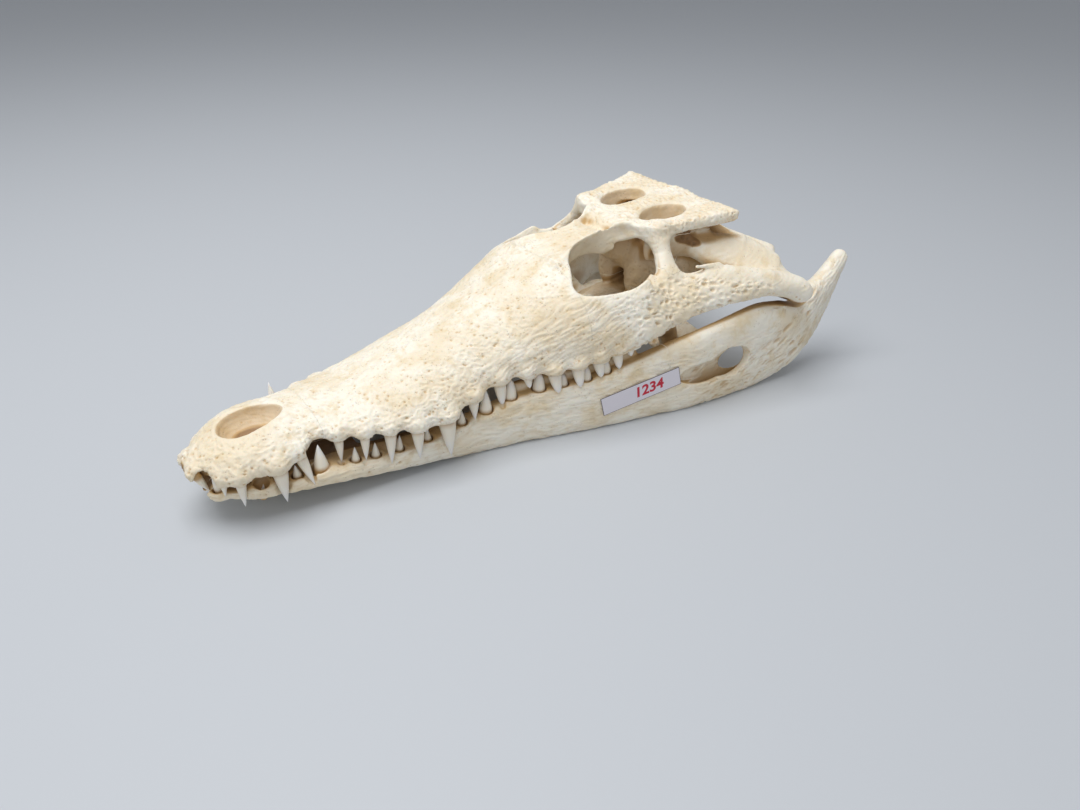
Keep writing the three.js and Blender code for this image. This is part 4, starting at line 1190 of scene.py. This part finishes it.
    def lower_height(self, points: np.ndarray, normals: np.ndarray) -> tuple[np.ndarray, np.ndarray]:
        """Relief of the lower jaw: height in mm, and how furrowed, for each place."""
        x, z = points[:, 0], points[:, 2]
        relief = self.relief
        outer = ramp(normals[:, 1] * np.sign(points[:, 1]), -0.2, 0.3)
        angle = ramp(x, 196, 216) * (1 - ramp(z, 16, 26) * (1 - ramp(x, 238, 250))) * (1 - ramp(x, 272, 288))
        upper_edge = ramp(x, 160, 190) * ramp(z, 27, 33) * (1 - ramp(x, 262, 272))
        streak = relief.streaks(points, z - 0.05 * x - 0.5 * np.maximum(x - 245, 0))
        slanted = points @ np.array([[1, 0, -0.5], [0, 1, 0], [0.5, 0, 1]]) * np.array([0.42, 1, 1])
        pits = relief.jaw_pits(slanted)
        front = 1 - ramp(x, 60, 110)
        vessel = relief.jaw_vessels(points) * (0.3 + 0.7 * front)
        streaky = (1 - 0.7 * upper_edge) * (0.35 + 0.65 * outer)
        height = (
            streaky * relief.jaw_streaks * (streak - 0.85)
            - angle * outer * relief.jaw_pits.depth * pits
            - relief.jaw_vessels.depth * vessel * outer * (1 - upper_edge)
            + relief.jaw_swell(points)
        )
        # where the bone's colour takes painted shade: streak furrows, pits and vessel mouths
        furrow = (
            streaky * 0.55 * (1 - streak)
            + angle * outer * 0.6 * pits
            + vessel * outer * (1 - upper_edge)
        )
        return height, np.clip(furrow, 0, 1)

    def inside_mouth(self, points: np.ndarray) -> np.ndarray:
        """How far a place lies inside the rows of teeth, from 0 to 1; the bone there darkens as painted
        shade.
        """
        row = np.interp(points[:, 0], [0, 14, 45, 88, 124, 175, 200], [4, 12, 14, 21, 25, 37, 42])
        inside = 1 - ramp(np.abs(points[:, 1]), row - 3.5, row + 0.5)
        low = points[:, 2] > np.interp(points[:, 0], [0, 60, 120, 200], [13, 9, 10, 20])
        margin = self.margin_line(points[:, 0])
        under = 1 - ramp(points[:, 2], margin + 4, margin + 7)
        return inside * low * under * (1 - ramp(points[:, 0], 150, 190))

    def painted_socket_shade(self, points: np.ndarray) -> np.ndarray:
        """Painted shade round the roots of the teeth, 1 at the root and 0 a little way off."""
        socket_shade = np.zeros(len(points))
        for tooth in self.teeth:
            base = np.array(tooth.base)
            near = np.abs(points - base).max(1) < tooth.radius + 4
            distance = np.linalg.norm(points[near] - base, axis=1)
            socket_shade[near] = np.maximum(socket_shade[near], 1 - ramp(distance, tooth.radius, tooth.radius + 1.3))
        return socket_shade


# ------------------------------------------------------------------ parting a jaw into its bones


@dataclass(frozen=True)
class Block:
    """Box between two corners in working mm, turned about its middle's vertical by turn."""

    low: Triple
    high: Triple
    turn: float = 0.0

    def on_side(self, side: int) -> "Block":
        """The same block on one side (-1 is left) of the middle plane."""
        ys = sorted((side * self.low[1], side * self.high[1]))
        return Block((self.low[0], ys[0], self.low[2]), (self.high[0], ys[1], self.high[2]), side * self.turn)

    def solid(self) -> bpy.types.Object:
        """The block as an object."""
        low, high = np.array(self.low), np.array(self.high)
        middle = ((low + high) / 2 + TIP) * MM
        deselect()
        bpy.ops.mesh.primitive_cube_add(size=1, location=middle)
        made = bpy.context.object
        place = Matrix.Translation(middle) @ Matrix.Rotation(self.turn, 4, "Z")
        made.data.transform(place @ Matrix.Diagonal((*((high - low) * MM), 1)))
        made.matrix_world = Matrix.Identity(4)
        return made


class Cut(Enum):
    """What a boolean leaves of a piece."""

    INSIDE = "INTERSECT"
    OUTSIDE = "DIFFERENCE"
    BOTH = "UNION"


def cut(piece: bpy.types.Object, tool: bpy.types.Object, kind: Cut) -> None:
    """Applies a boolean with a closed tool to a closed piece."""
    boolean = piece.modifiers.new("part", "BOOLEAN")
    boolean.operation = kind.value
    boolean.solver = "MANIFOLD"
    boolean.object = tool
    apply_modifier(piece, boolean.name)


FAR = 90.0  # beyond the bones on every side, mm
PALATE = (Block((140, -26, 0), (262, 26, 44)), Block((186, -46, 0), (240, 46, 37)))
CHEEK = (
    Block((140, 26, 0), (193, FAR, 84)), Block((180, 26, 37), (197, FAR, 63)),
    Block((190, 33, 37), (220, FAR, 61)), Block((214, 50.5, 30), (266, 76, 70), 0.3),
)
QUADRATE = Block((212, 18.5, 30), (290, FAR, 70))
DENTARY_END = 190.0


@dataclass(frozen=True)
class Bone:
    """One bone, or a group grown together: its CAD node and the blocks that part it off."""

    node: str
    blocks: tuple[Block, ...] = ()
    suffix: str = ""

    @property
    def piece_name(self) -> str:
        """The piece's name."""
        return f"{self.node}_bone{self.suffix}"

    def part_off(self, rest: bpy.types.Object) -> bpy.types.Object:
        """Takes the bone off what is left of its jaw.

        Args:
            rest: The jaw, which loses the bone.

        Returns:
            The bone as a closed piece; the whole rest where no block is given.
        """
        if not self.blocks:
            rest.name = rest.data.name = self.piece_name
            return rest
        tool = self.blocks[0].solid()
        for block in self.blocks[1:]:
            more = block.solid()
            cut(tool, more, Cut.BOTH)
            bpy.data.objects.remove(more)
        bone = rest.copy()
        bone.data = rest.data.copy()
        bone.name = bone.data.name = self.piece_name
        bpy.context.scene.collection.objects.link(bone)
        cut(bone, tool, Cut.INSIDE)
        cut(rest, tool, Cut.OUTSIDE)
        bpy.data.objects.remove(tool)
        return bone


UPPER_BONES = (
    Bone("premaxilla", (Block((-20, -FAR, -20), (46.5, FAR, FAR)),)),
    Bone("rostrum", (Block((-20, -FAR, -20), (155, 0, FAR)),), "_left"),
    Bone("rostrum", (Block((-20, 0, -20), (155, FAR, FAR)),), "_right"),
    Bone("palate", PALATE),
    Bone("cheek_left", tuple(block.on_side(-1) for block in CHEEK)),
    Bone("cheek_right", tuple(block.on_side(1) for block in CHEEK)),
    Bone("quadrate_left", (QUADRATE.on_side(-1),)),
    Bone("quadrate_right", (QUADRATE.on_side(1),)),
    Bone("skull_roof"),
)
LOWER_BONES = (
    Bone("dentary_left", (Block((-20, -FAR, -20), (DENTARY_END, 0, FAR)),)),
    Bone("dentary_right", (Block((-20, 0, -20), (DENTARY_END, FAR, FAR)),)),
    Bone("jaw_back_left", (Block((DENTARY_END, -FAR, -20), (320, 0, FAR)),)),
    Bone("jaw_back_right"),
)


# ------------------------------------------------------------------ crowns


@dataclass(frozen=True)
class Crown:
    """The shape that all the teeth share, and the pieces that they are joined into."""

    sides: int = 20
    rings: int = 12
    root: float = 3.0  # depth in the socket, mm
    keel: float = 0.06  # how far the two keels stand out, as a share of the radius
    bend: float = 0.07  # how far the tip leans, as a share of the length
    blunt: float = 0.7  # how round the rear teeth are: 0 is as sharp as the front ones
    edge: int = 8  # how narrow the keels are

    def radius_at(self, share: float) -> float:
        """Thickness along the tooth, from 1 at its root to a sharp tip."""
        return max(1.02 - 0.16 * share - 0.84 * share**1.9, 0.03)

    def master(self) -> bpy.types.Object:
        """One tooth of unit radius and unit height, extruded ring by ring from its root."""
        deselect()
        bpy.ops.mesh.primitive_circle_add(vertices=self.sides, radius=1, fill_type="NGON")
        made = bpy.context.object
        bpy.ops.object.mode_set(mode="EDIT")
        bpy.ops.mesh.select_all(action="SELECT")
        step = 1 / self.rings
        for ring in range(1, self.rings + 1):
            shrink = self.radius_at(ring * step) / self.radius_at((ring - 1) * step)
            bpy.ops.mesh.extrude_region_move(TRANSFORM_OT_translate={"value": (0, 0, step)})
            bpy.ops.transform.resize(value=(shrink, shrink, 1), center_override=(0, 0, ring * step))
        bpy.ops.mesh.select_all(action="SELECT")
        bpy.ops.mesh.normals_make_consistent(inside=False)
        bpy.ops.object.mode_set(mode="OBJECT")
        made.data.shade_smooth()
        return made

    def placed(self, master: bpy.types.Object, tooth: Tooth, towards: np.ndarray) -> bpy.types.Object:
        """A copy of the master at a tooth's place and size.

        Args:
            master: The tooth of unit size.
            tooth: Where it stands.
            towards: The direction in which its tip leans.

        Returns:
            The copy, with its height on the tooth stored for its material.
        """
        made = master.copy()
        made.data = master.data.copy()
        bpy.context.scene.collection.objects.link(made)
        unit = np.empty(len(made.data.vertices) * 3, np.float32)
        made.data.vertices.foreach_get("co", unit)
        unit = unit.reshape(-1, 3).astype(float)
        axis = np.array(tooth.direction) / np.linalg.norm(tooth.direction)
        lean = towards - axis * (towards @ axis)
        lean /= np.linalg.norm(lean)
        side = np.cross(axis, lean)
        share = unit[:, 2]
        angle = np.arctan2(unit[:, 1], unit[:, 0])
        wide = tooth.radius * (1 + self.keel * np.abs(np.sin(angle)) ** self.edge)
        if tooth.base[0] > INNER_ROW:
            rounder = np.sqrt(1 - np.minimum(share, 1) ** 2.6) / np.vectorize(self.radius_at)(share)
            wide = wide * (1 + self.blunt * np.maximum(rounder - 1, 0))
        tall = tooth.length + self.root
        rise = share * tall - self.root
        offset = self.bend * tall * share**2
        points = (
            np.array(tooth.base)
            + axis * rise[:, None]
            + lean * (unit[:, 0] * wide + offset)[:, None]
            + side * (unit[:, 1] * wide)[:, None]
        )
        set_points(made, points)
        set_attribute(made, "rise", np.clip(rise / tooth.length, -0.2, 1))
        grooves = np.stack([np.cos(angle) * 3, np.sin(angle) * 3, share * 0.8], 1)
        set_attribute(made, "grain", Noise.layered(grooves + tooth.base[0], 81, 2))
        return made

    def row(self, name: str, teeth: Sequence[Tooth], side: int) -> bpy.types.Object:
        """All the teeth of one side of a jaw as one piece.

        Args:
            name: The piece's name.
            teeth: Where they stand.
            side: Which side (-1 is left).

        Returns:
            The joined piece.
        """
        master = self.master()
        copies = [self.placed(master, tooth, np.array([0.5, -side, 0])) for tooth in teeth]
        bpy.data.objects.remove(master)
        make_active(copies[0])
        for one in copies:
            one.select_set(True)
        bpy.ops.object.join()
        made = bpy.context.object
        made.name = made.data.name = name
        return made


# ------------------------------------------------------------------ number label


@dataclass
class NumberLabel:
    """Strip of printed paper tape on the left side of the lower jaw, sizes in mm."""

    length: float = 37.0
    height: float = 9.0
    thick: float = 0.16
    middle: tuple[float, float] = (177.0, 15.8)
    rise: float = 0.22
    number: str = "1234"
    digit_height: float = 6.9
    digit_shift: float = 3.4
    digit_slant: float = 0.12
    stroke: float = 0.2  # how much heavier than the plain letters the print is
    ink: float = 0.015  # half the print's thickness
    clearance: float = 0.12  # between the strip's back and the bone below it

    def settle(self, volume: Volume) -> None:
        """Fits the strip's gentle bend to the bone below it."""
        half_length, half_height = self.length / 2 - 0.5, self.height / 2 - 0.3
        s, t = np.meshgrid(
            np.linspace(-half_length, half_length, 25), np.linspace(-half_height, half_height, 9)
        )
        s, t = s.ravel(), t.ravel()
        x, z = self.flat_place(s, t)
        depths = np.arange(-75.0, -35.0, 0.1)
        places = np.stack(
            [np.repeat(x, len(depths)), np.tile(depths, len(x)), np.repeat(z, len(depths))], 1
        )
        inside = volume.at(places).reshape(len(x), -1) < 0
        found = depths[np.argmax(inside, 1)]
        terms = self.terms(s, t)
        self.bend = np.linalg.lstsq(terms, found, rcond=None)[0]
        self.bend[0] -= np.percentile(terms @ self.bend - found, 97) + self.clearance

    @staticmethod
    def terms(s: np.ndarray, t: np.ndarray) -> np.ndarray:
        """Terms of the strip's bend."""
        return np.stack([np.ones_like(s), s, t, s * s], 1)

    def flat_place(self, s: np.ndarray, t: np.ndarray) -> tuple[np.ndarray, np.ndarray]:
        """Working x and z of a place on the strip, s along it and t up it."""
        c, r = math.cos(self.rise), math.sin(self.rise)
        return self.middle[0] + s * c - t * r, self.middle[1] + s * r + t * c

    def wrap(self, piece: bpy.types.Object) -> None:
        """Lays a flat piece, drawn in mm in x and y with its height in z, onto the jaw."""
        flat = np.empty(len(piece.data.vertices) * 3, np.float32)
        piece.data.vertices.foreach_get("co", flat)
        s, t, out = flat.reshape(-1, 3).astype(float).T
        x, z = self.flat_place(s, t)
        y = self.terms(s, t) @ self.bend - out
        set_points(piece, np.stack([x, y, z], 1))

    def paper(self) -> bpy.types.Object:
        """The strip, with a UV map that runs in mm along it and up it."""
        deselect()
        bpy.ops.mesh.primitive_grid_add(x_subdivisions=36, y_subdivisions=10, size=2)
        made = bpy.context.object
        made.data.transform(Matrix.Diagonal((self.length / 2, self.height / 2, 1, 1)))
        bpy.ops.object.mode_set(mode="EDIT")
        bpy.ops.mesh.select_all(action="SELECT")
        bpy.ops.mesh.extrude_region_move(TRANSFORM_OT_translate={"value": (0, 0, self.thick)})
        bpy.ops.mesh.select_all(action="SELECT")
        bpy.ops.mesh.normals_make_consistent(inside=False)
        bpy.ops.object.mode_set(mode="OBJECT")
        layer = made.data.uv_layers.active or made.data.uv_layers.new(name="strip")
        for loop in made.data.loops:
            place = made.data.vertices[loop.vertex_index].co
            layer.data[loop.index].uv = (place.x, place.y)
        self.wrap(made)
        made.name = made.data.name = "number_label"
        return made

    def digits(self) -> bpy.types.Object:
        """The printed number, a hair proud of the paper."""
        deselect()
        bpy.ops.object.text_add()
        made = bpy.context.object
        made.data.body = self.number
        made.data.size = self.digit_height
        made.data.align_x = "CENTER"
        made.data.align_y = "CENTER"
        made.data.extrude = self.ink
        made.data.offset = self.stroke
        made.data.shear = self.digit_slant
        bpy.ops.object.convert(target="MESH")
        made = bpy.context.object
        made.data.transform(Matrix.Translation((self.digit_shift, 0, self.thick + 0.02)))
        self.wrap(made)
        made.name = made.data.name = "label_digits"
        return made


# ------------------------------------------------------------------ finishes


def add_node(tree: bpy.types.NodeTree, kind: str, settings: dict, links: dict) -> bpy.types.Node:
    """Adds a shader node with its settings and links.

    Args:
        tree: The material's node tree.
        kind: The node's type.
        settings: Values, by the node's property name or the number or name of its input.
        links: Output sockets, by the number or name of the input that they feed.

    Returns:
        The new node.
    """
    node = tree.nodes.new(kind)
    for key, value in settings.items():
        if isinstance(key, str) and hasattr(node, key):
            setattr(node, key, value)
        else:
            node.inputs[key].default_value = value
    for key, socket in links.items():
        tree.links.new(socket, node.inputs[key])
    return node


def new_material(name: str) -> tuple[bpy.types.Material, bpy.types.NodeTree, bpy.types.Node]:
    """An empty material, its node tree and its Principled shader."""
    material = bpy.data.materials.new(name)
    material.use_nodes = True
    tree = material.node_tree
    return material, tree, tree.nodes["Principled BSDF"]


def set_glow(shader: bpy.types.Node, ior: float, weight: float, radius: Triple, depth_mm: float) -> None:
    """Sets how strongly a shader bends light and lets it run below the surface."""
    shader.inputs["IOR"].default_value = ior
    shader.inputs["Subsurface Weight"].default_value = weight
    shader.inputs["Subsurface Radius"].default_value = radius
    shader.inputs["Subsurface Scale"].default_value = depth_mm * MM


SMOOTH_STEP = {"interpolation_type": "SMOOTHSTEP"}
MIX_COLOUR = {"data_type": "RGBA"}
FACTOR, FIRST, SECOND, MIXED = 0, 6, 7, 2  # sockets of a colour Mix node


@dataclass(frozen=True)
class Tint:
    """A colour that comes in where a mask goes from low to high, up to the given amount."""

    shade: str
    low: float
    high: float
    amount: float = 1.0


def tinted(tree: bpy.types.NodeTree, base: str, layers: Iterable[tuple]) -> bpy.types.NodeSocket:
    """Lays tints over a base colour.

    Args:
        tree: The material's node tree.
        base: The base colour.
        layers: Pairs of a mask's socket and the tint that it lets in, from the lowest layer up.

    Returns:
        The finished colour.
    """
    skin = add_node(tree, "ShaderNodeRGB", {}, {}).outputs[0]
    skin.default_value = colour(base)
    for mask, tint in layers:
        step = {**SMOOTH_STEP, 1: tint.low, 2: tint.high, 4: tint.amount}
        amount = add_node(tree, "ShaderNodeMapRange", step, {0: mask}).outputs[0]
        settings = {**MIX_COLOUR, SECOND: colour(tint.shade)}
        skin = add_node(tree, "ShaderNodeMix", settings, {FACTOR: amount, FIRST: skin}).outputs[MIXED]
    return skin


@dataclass(frozen=True)
class Grain:
    """Noise of one size in mm, with its detail and roughness."""

    size: float
    detail: float
    rough: float


@dataclass(frozen=True)
class BoneFinish:
    """Degreased and bleached bone: matt and chalky, with painted shade in its hollows and furrows.

    The tints lie over each other in this order, each where its mask says. Blotches and patches are
    noise; hollow, furrow and the shade round the tooth roots are stored on the surface and laid on as
    painted shade; pores are small holes in groups, darkened with painted shade.
    """

    chalk: str = "#FBF4E4"
    tints: tuple[tuple[str, Tint], ...] = (
        ("blotches", Tint("#F1E3C8", 0.38, 0.62)),
        ("patches", Tint("#E3CB9C", 0.48, 0.7, 0.5)),
        # painted shade in furrows, pits and the mouths of small vessels
        ("furrow", Tint("#C79F62", 0.25, 1.0, 0.62)),
        # painted shade: tan where the bone is enclosed, dark brown deepest in the hollows
        ("hollow", Tint("#C9A264", 0.42, 0.78, 0.85)),
        ("hollow", Tint("#7A5226", 0.74, 1.0, 0.75)),
        # painted shade round the tooth roots, in the sockets
        ("socket_shade", Tint("#7B4A1C", 0.25, 1.0, 0.6)),
        # painted shade in the pores
        ("pores", Tint("#7A5226", 0.0, 1.0, 0.28)),
    )
    grains: tuple[tuple[str, Grain], ...] = (
        ("blotches", Grain(26.0, 3, 0.55)),
        ("patches", Grain(7.0, 5, 0.65)),
        ("porous", Grain(5.0, 2, 0.5)),
        ("fine", Grain(0.8, 4, 0.6)),
    )
    # masks stored on the surface; all three lay painted shade on the bone
    marks: tuple[str, ...] = ("hollow", "furrow", "socket_shade")
    pore_mm: float = 1.3
    pore_edge: tuple[float, float] = (0.26, 0.12)  # from clear bone to a pore, as distances from its middle
    pore_group: tuple[float, float] = (0.5, 0.62)  # noise at which pores begin, and at which they are deepest
    roughness: tuple[float, float] = (0.5, 0.66)
    bump_strength: float = 0.55
    bump_mm: float = 0.22
    glow_mm: float = 1.2  # how far light runs inside the bone

    def masks(self, tree: bpy.types.NodeTree) -> dict[str, bpy.types.NodeSocket]:
        """Adds the patterns that say where each tint lies.

        Args:
            tree: The material's node tree.

        Returns:
            The patterns by their names.
        """
        place = add_node(tree, "ShaderNodeTexCoord", {}, {}).outputs["Object"]
        found = {}
        for name, grain in self.grains:
            settings = {"Scale": 1 / (grain.size * MM), "Detail": grain.detail, "Roughness": grain.rough}
            found[name] = add_node(tree, "ShaderNodeTexNoise", settings, {"Vector": place}).outputs["Fac"]
        for name in self.marks:
            found[name] = add_node(tree, "ShaderNodeAttribute", {"attribute_name": name}, {}).outputs["Fac"]
        # groups of small pores, used for the bump and for painted shade in them
        cells = add_node(tree, "ShaderNodeTexVoronoi", {"Scale": 1 / (self.pore_mm * MM)}, {"Vector": place})
        parts = []
        for step, source in ((self.pore_edge, cells.outputs["Distance"]), (self.pore_group, found["porous"])):
            settings = {**SMOOTH_STEP, 1: step[0], 2: step[1]}
            parts.append(add_node(tree, "ShaderNodeMapRange", settings, {0: source}).outputs[0])
        product = add_node(tree, "ShaderNodeMath", {"operation": "MULTIPLY"}, dict(enumerate(parts)))
        found["pores"] = product.outputs[0]
        return found

    def material(self) -> bpy.types.Material:
        """Makes the material."""
        material, tree, shader = new_material("cleaned_bone")
        masks = self.masks(tree)
        layers = [(masks[name], tint) for name, tint in self.tints]
        tree.links.new(tinted(tree, self.chalk, layers), shader.inputs["Base Color"])
        low, high = self.roughness
        rough = add_node(tree, "ShaderNodeMapRange", {1: 0.3, 2: 0.7, 3: low, 4: high}, {0: masks["fine"]})
        tree.links.new(rough.outputs[0], shader.inputs["Roughness"])
        sides = {0: masks["fine"], 1: masks["pores"]}
        height = add_node(tree, "ShaderNodeMath", {"operation": "SUBTRACT"}, sides)
        bump_settings = {"Strength": self.bump_strength, "Distance": self.bump_mm * MM}
        bump = add_node(tree, "ShaderNodeBump", bump_settings, {"Height": height.outputs[0]})
        tree.links.new(bump.outputs[0], shader.inputs["Normal"])
        set_glow(shader, 1.54, 0.12, (1.0, 0.7, 0.45), self.glow_mm)
        return material


@dataclass(frozen=True)
class ToothFinish:
    """Enamel over dentine: smooth ivory, greyer at the tip and tea-coloured at the root."""

    root: str = "#C6A067"
    ivory: Tint = Tint("#F6EDDB", -0.05, 0.22)
    tip: Tint = Tint("#F2EFEA", 0.3, 0.95)
    bump_strength: float = 0.35
    bump_mm: float = 0.12
    glow_mm: float = 1.5  # how far light runs inside a tooth

    def material(self) -> bpy.types.Material:
        """Makes the material."""
        material, tree, shader = new_material("tooth_enamel")
        rise = add_node(tree, "ShaderNodeAttribute", {"attribute_name": "rise"}, {}).outputs["Fac"]
        grain = add_node(tree, "ShaderNodeAttribute", {"attribute_name": "grain"}, {}).outputs["Fac"]
        skin = tinted(tree, self.root, [(rise, self.ivory), (rise, self.tip)])
        tree.links.new(skin, shader.inputs["Base Color"])
        bump_settings = {"Strength": self.bump_strength, "Distance": self.bump_mm * MM}
        bump = add_node(tree, "ShaderNodeBump", bump_settings, {"Height": grain})
        tree.links.new(bump.outputs[0], shader.inputs["Normal"])
        shader.inputs["Roughness"].default_value = 0.3
        set_glow(shader, 1.62, 0.25, (1.0, 0.8, 0.6), self.glow_mm)
        return material


@dataclass(frozen=True)
class PaperFinish:
    """Smooth printed tape with a thin dark line round its edge."""

    face: str = "#E4DFE6"
    edge: str = "#6E6468"
    length: float = 37.0
    height: float = 9.0
    line: float = 0.22

    def material(self) -> bpy.types.Material:
        """Makes the material."""
        material, tree, shader = new_material("label_tape")
        strip = add_node(tree, "ShaderNodeUVMap", {}, {}).outputs["UV"]
        parts = add_node(tree, "ShaderNodeSeparateXYZ", {}, {0: strip})
        edges = []
        for axis, size in ((0, self.length), (1, self.height)):
            far = add_node(tree, "ShaderNodeMath", {"operation": "ABSOLUTE"}, {0: parts.outputs[axis]})
            near = {"operation": "GREATER_THAN", 1: size / 2 - self.line}
            edges.append(add_node(tree, "ShaderNodeMath", near, {0: far.outputs[0]}).outputs[0])
        either = add_node(tree, "ShaderNodeMath", {"operation": "MAXIMUM"}, {0: edges[0], 1: edges[1]})
        skin = add_node(
            tree, "ShaderNodeMix", {**MIX_COLOUR, FIRST: colour(self.face), SECOND: colour(self.edge)},
            {FACTOR: either.outputs[0]},
        )
        tree.links.new(skin.outputs[MIXED], shader.inputs["Base Color"])
        shader.inputs["Roughness"].default_value = 0.42
        return material


@dataclass(frozen=True)
class PlainFinish:
    """An even finish, such as printed ink or a painted studio floor."""

    name: str
    shade: str
    roughness: float

    def material(self) -> bpy.types.Material:
        """Makes the material."""
        material, _, shader = new_material(self.name)
        shader.inputs["Base Color"].default_value = colour(self.shade)
        shader.inputs["Roughness"].default_value = self.roughness
        return material


def dress(piece: bpy.types.Object, material: bpy.types.Material) -> None:
    """Gives a piece one material."""
    piece.data.materials.clear()
    piece.data.materials.append(material)


# ------------------------------------------------------------------ studio


@dataclass(frozen=True)
class Lamp:
    """A square soft light: its place and size in metres, and its power in watts."""

    name: str
    place: Triple
    size: float
    power: float


@dataclass(frozen=True)
class Studio:
    """Plain pale floor, soft light and the camera, with places in metres and angles in radians."""

    lamps: tuple[Lamp, ...] = (
        Lamp("overhead_light", (-0.2, 0.05, 0.95), 0.7, 7.4),
        Lamp("front_light", (-0.75, -0.95, 0.75), 0.8, 1.9),
    )
    aim: Triple = (0.0, 0.0, 0.03)
    eye: Triple = (-0.190727, -0.262364, 0.197182)
    yaw: float = 0.927563
    pitch: float = 0.563554
    roll: float = 0.0110486
    lens: float = 27.033
    sensor: float = 36.0
    sky: str = "#E6E9EE"
    sky_strength: float = 0.42
    floor_size: float = 12.0

    def light(self) -> None:
        """Adds the lamps and an even sky."""
        for lamp in self.lamps:
            data = bpy.data.lights.new(lamp.name, "AREA")
            data.size = lamp.size
            data.energy = lamp.power
            made = bpy.data.objects.new(lamp.name, data)
            made.location = lamp.place
            towards = Vector(self.aim) - Vector(lamp.place)
            made.rotation_euler = towards.to_track_quat("-Z", "Y").to_euler()
            bpy.context.scene.collection.objects.link(made)
        world = bpy.data.worlds.new("studio_sky")
        world.use_nodes = True
        sky = world.node_tree.nodes["Background"]
        sky.inputs["Color"].default_value = colour(self.sky)
        sky.inputs["Strength"].default_value = self.sky_strength
        bpy.context.scene.world = world
        bpy.context.scene.view_settings.view_transform = "Standard"

    def floor(self) -> bpy.types.Object:
        """Adds the floor."""
        deselect()
        bpy.ops.mesh.primitive_plane_add(size=self.floor_size)
        made = bpy.context.object
        made.name = made.data.name = "studio_floor"
        dress(made, PlainFinish("pale_floor", "#C3C7CC", 0.55).material())
        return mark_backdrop(made)

    def camera(self) -> None:
        """Adds the camera."""
        ahead = Vector((
            math.cos(self.yaw) * math.cos(self.pitch),
            math.sin(self.yaw) * math.cos(self.pitch),
            -math.sin(self.pitch),
        ))
        level = Vector((math.sin(self.yaw), -math.cos(self.yaw), 0))
        above = level.cross(ahead)
        c, s = math.cos(self.roll), math.sin(self.roll)
        right, up = level * c + above * s, above * c - level * s
        data = bpy.data.cameras.new("studio_camera")
        data.lens = self.lens
        data.sensor_width = self.sensor
        data.clip_start = 0.01
        made = bpy.data.objects.new("studio_camera", data)
        made.matrix_world = Matrix.Translation(self.eye) @ Matrix((right, up, -ahead)).transposed().to_4x4()
        bpy.context.scene.collection.objects.link(made)
        bpy.context.scene.camera = made


# ------------------------------------------------------------------ the whole skull


def report(piece: bpy.types.Object) -> None:
    """Logs a piece's name and its number of faces."""
    log.info("%s: %d faces", piece.name, len(piece.data.polygons))


def add_bones(surface: BoneSurface, bones: Sequence[Bone], finish: bpy.types.Material) -> None:
    """Parts a jaw into its bones, dresses them and lets them ride.

    Args:
        surface: The jaw's finished surface.
        bones: The bones, in the order in which they are parted off.
        finish: The material of bone.
    """
    for bone in bones:
        piece = bone.part_off(surface.object)
        dress(piece, finish)
        piece.data.shade_smooth()
        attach(piece, "root")
        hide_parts(bone.node)
        report(piece)


def add_piece(piece: bpy.types.Object, finish: bpy.types.Material) -> None:
    """Dresses a small piece and lets it ride."""
    dress(piece, finish)
    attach(piece, "root")
    report(piece)


def main() -> None:
    """Builds the skull, the label and the studio in order."""
    logging.basicConfig(level=logging.INFO, format="%(message)s")
    studio = Studio()
    studio.camera()
    studio.light()
    studio.floor()

    cranium, mandible = Cranium(), Mandible()
    upper = cranium.volume(mandible.teeth(1))
    lower = mandible.volume(cranium.teeth(1))
    bone = BoneFinish().material()
    upper_teeth = {side: cranium.teeth(side) for side in (-1, 1)}
    lower_teeth = {side: mandible.teeth(side) for side in (-1, 1)}
    for jaw, volume, other, teeth, bones in (
        (Jaw.UPPER, upper, lower, upper_teeth, UPPER_BONES),
        (Jaw.LOWER, lower, upper, lower_teeth, LOWER_BONES),
    ):
        surface = BoneSurface(jaw, volume, other, teeth[-1] + teeth[1])
        surface.carve_relief()
        add_bones(surface, bones, bone)

    enamel = ToothFinish().material()
    crown = Crown()
    lower_teeth[-1].append(Tooth(*NEW_TOOTH))
    for side, word in ((-1, "left"), (1, "right")):
        add_piece(crown.row(f"upper_teeth_{word}", upper_teeth[side], side), enamel)
        add_piece(crown.row(f"lower_teeth_{word}", lower_teeth[side], side), enamel)

    label = NumberLabel()
    label.settle(lower)
    paper = label.paper()
    add_piece(paper, PaperFinish(length=label.length, height=label.height).material())
    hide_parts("label")
    add_piece(label.digits(), PlainFinish("red_print", "#C8203A", 0.5).material())


if __name__ == "__main__":
    main()
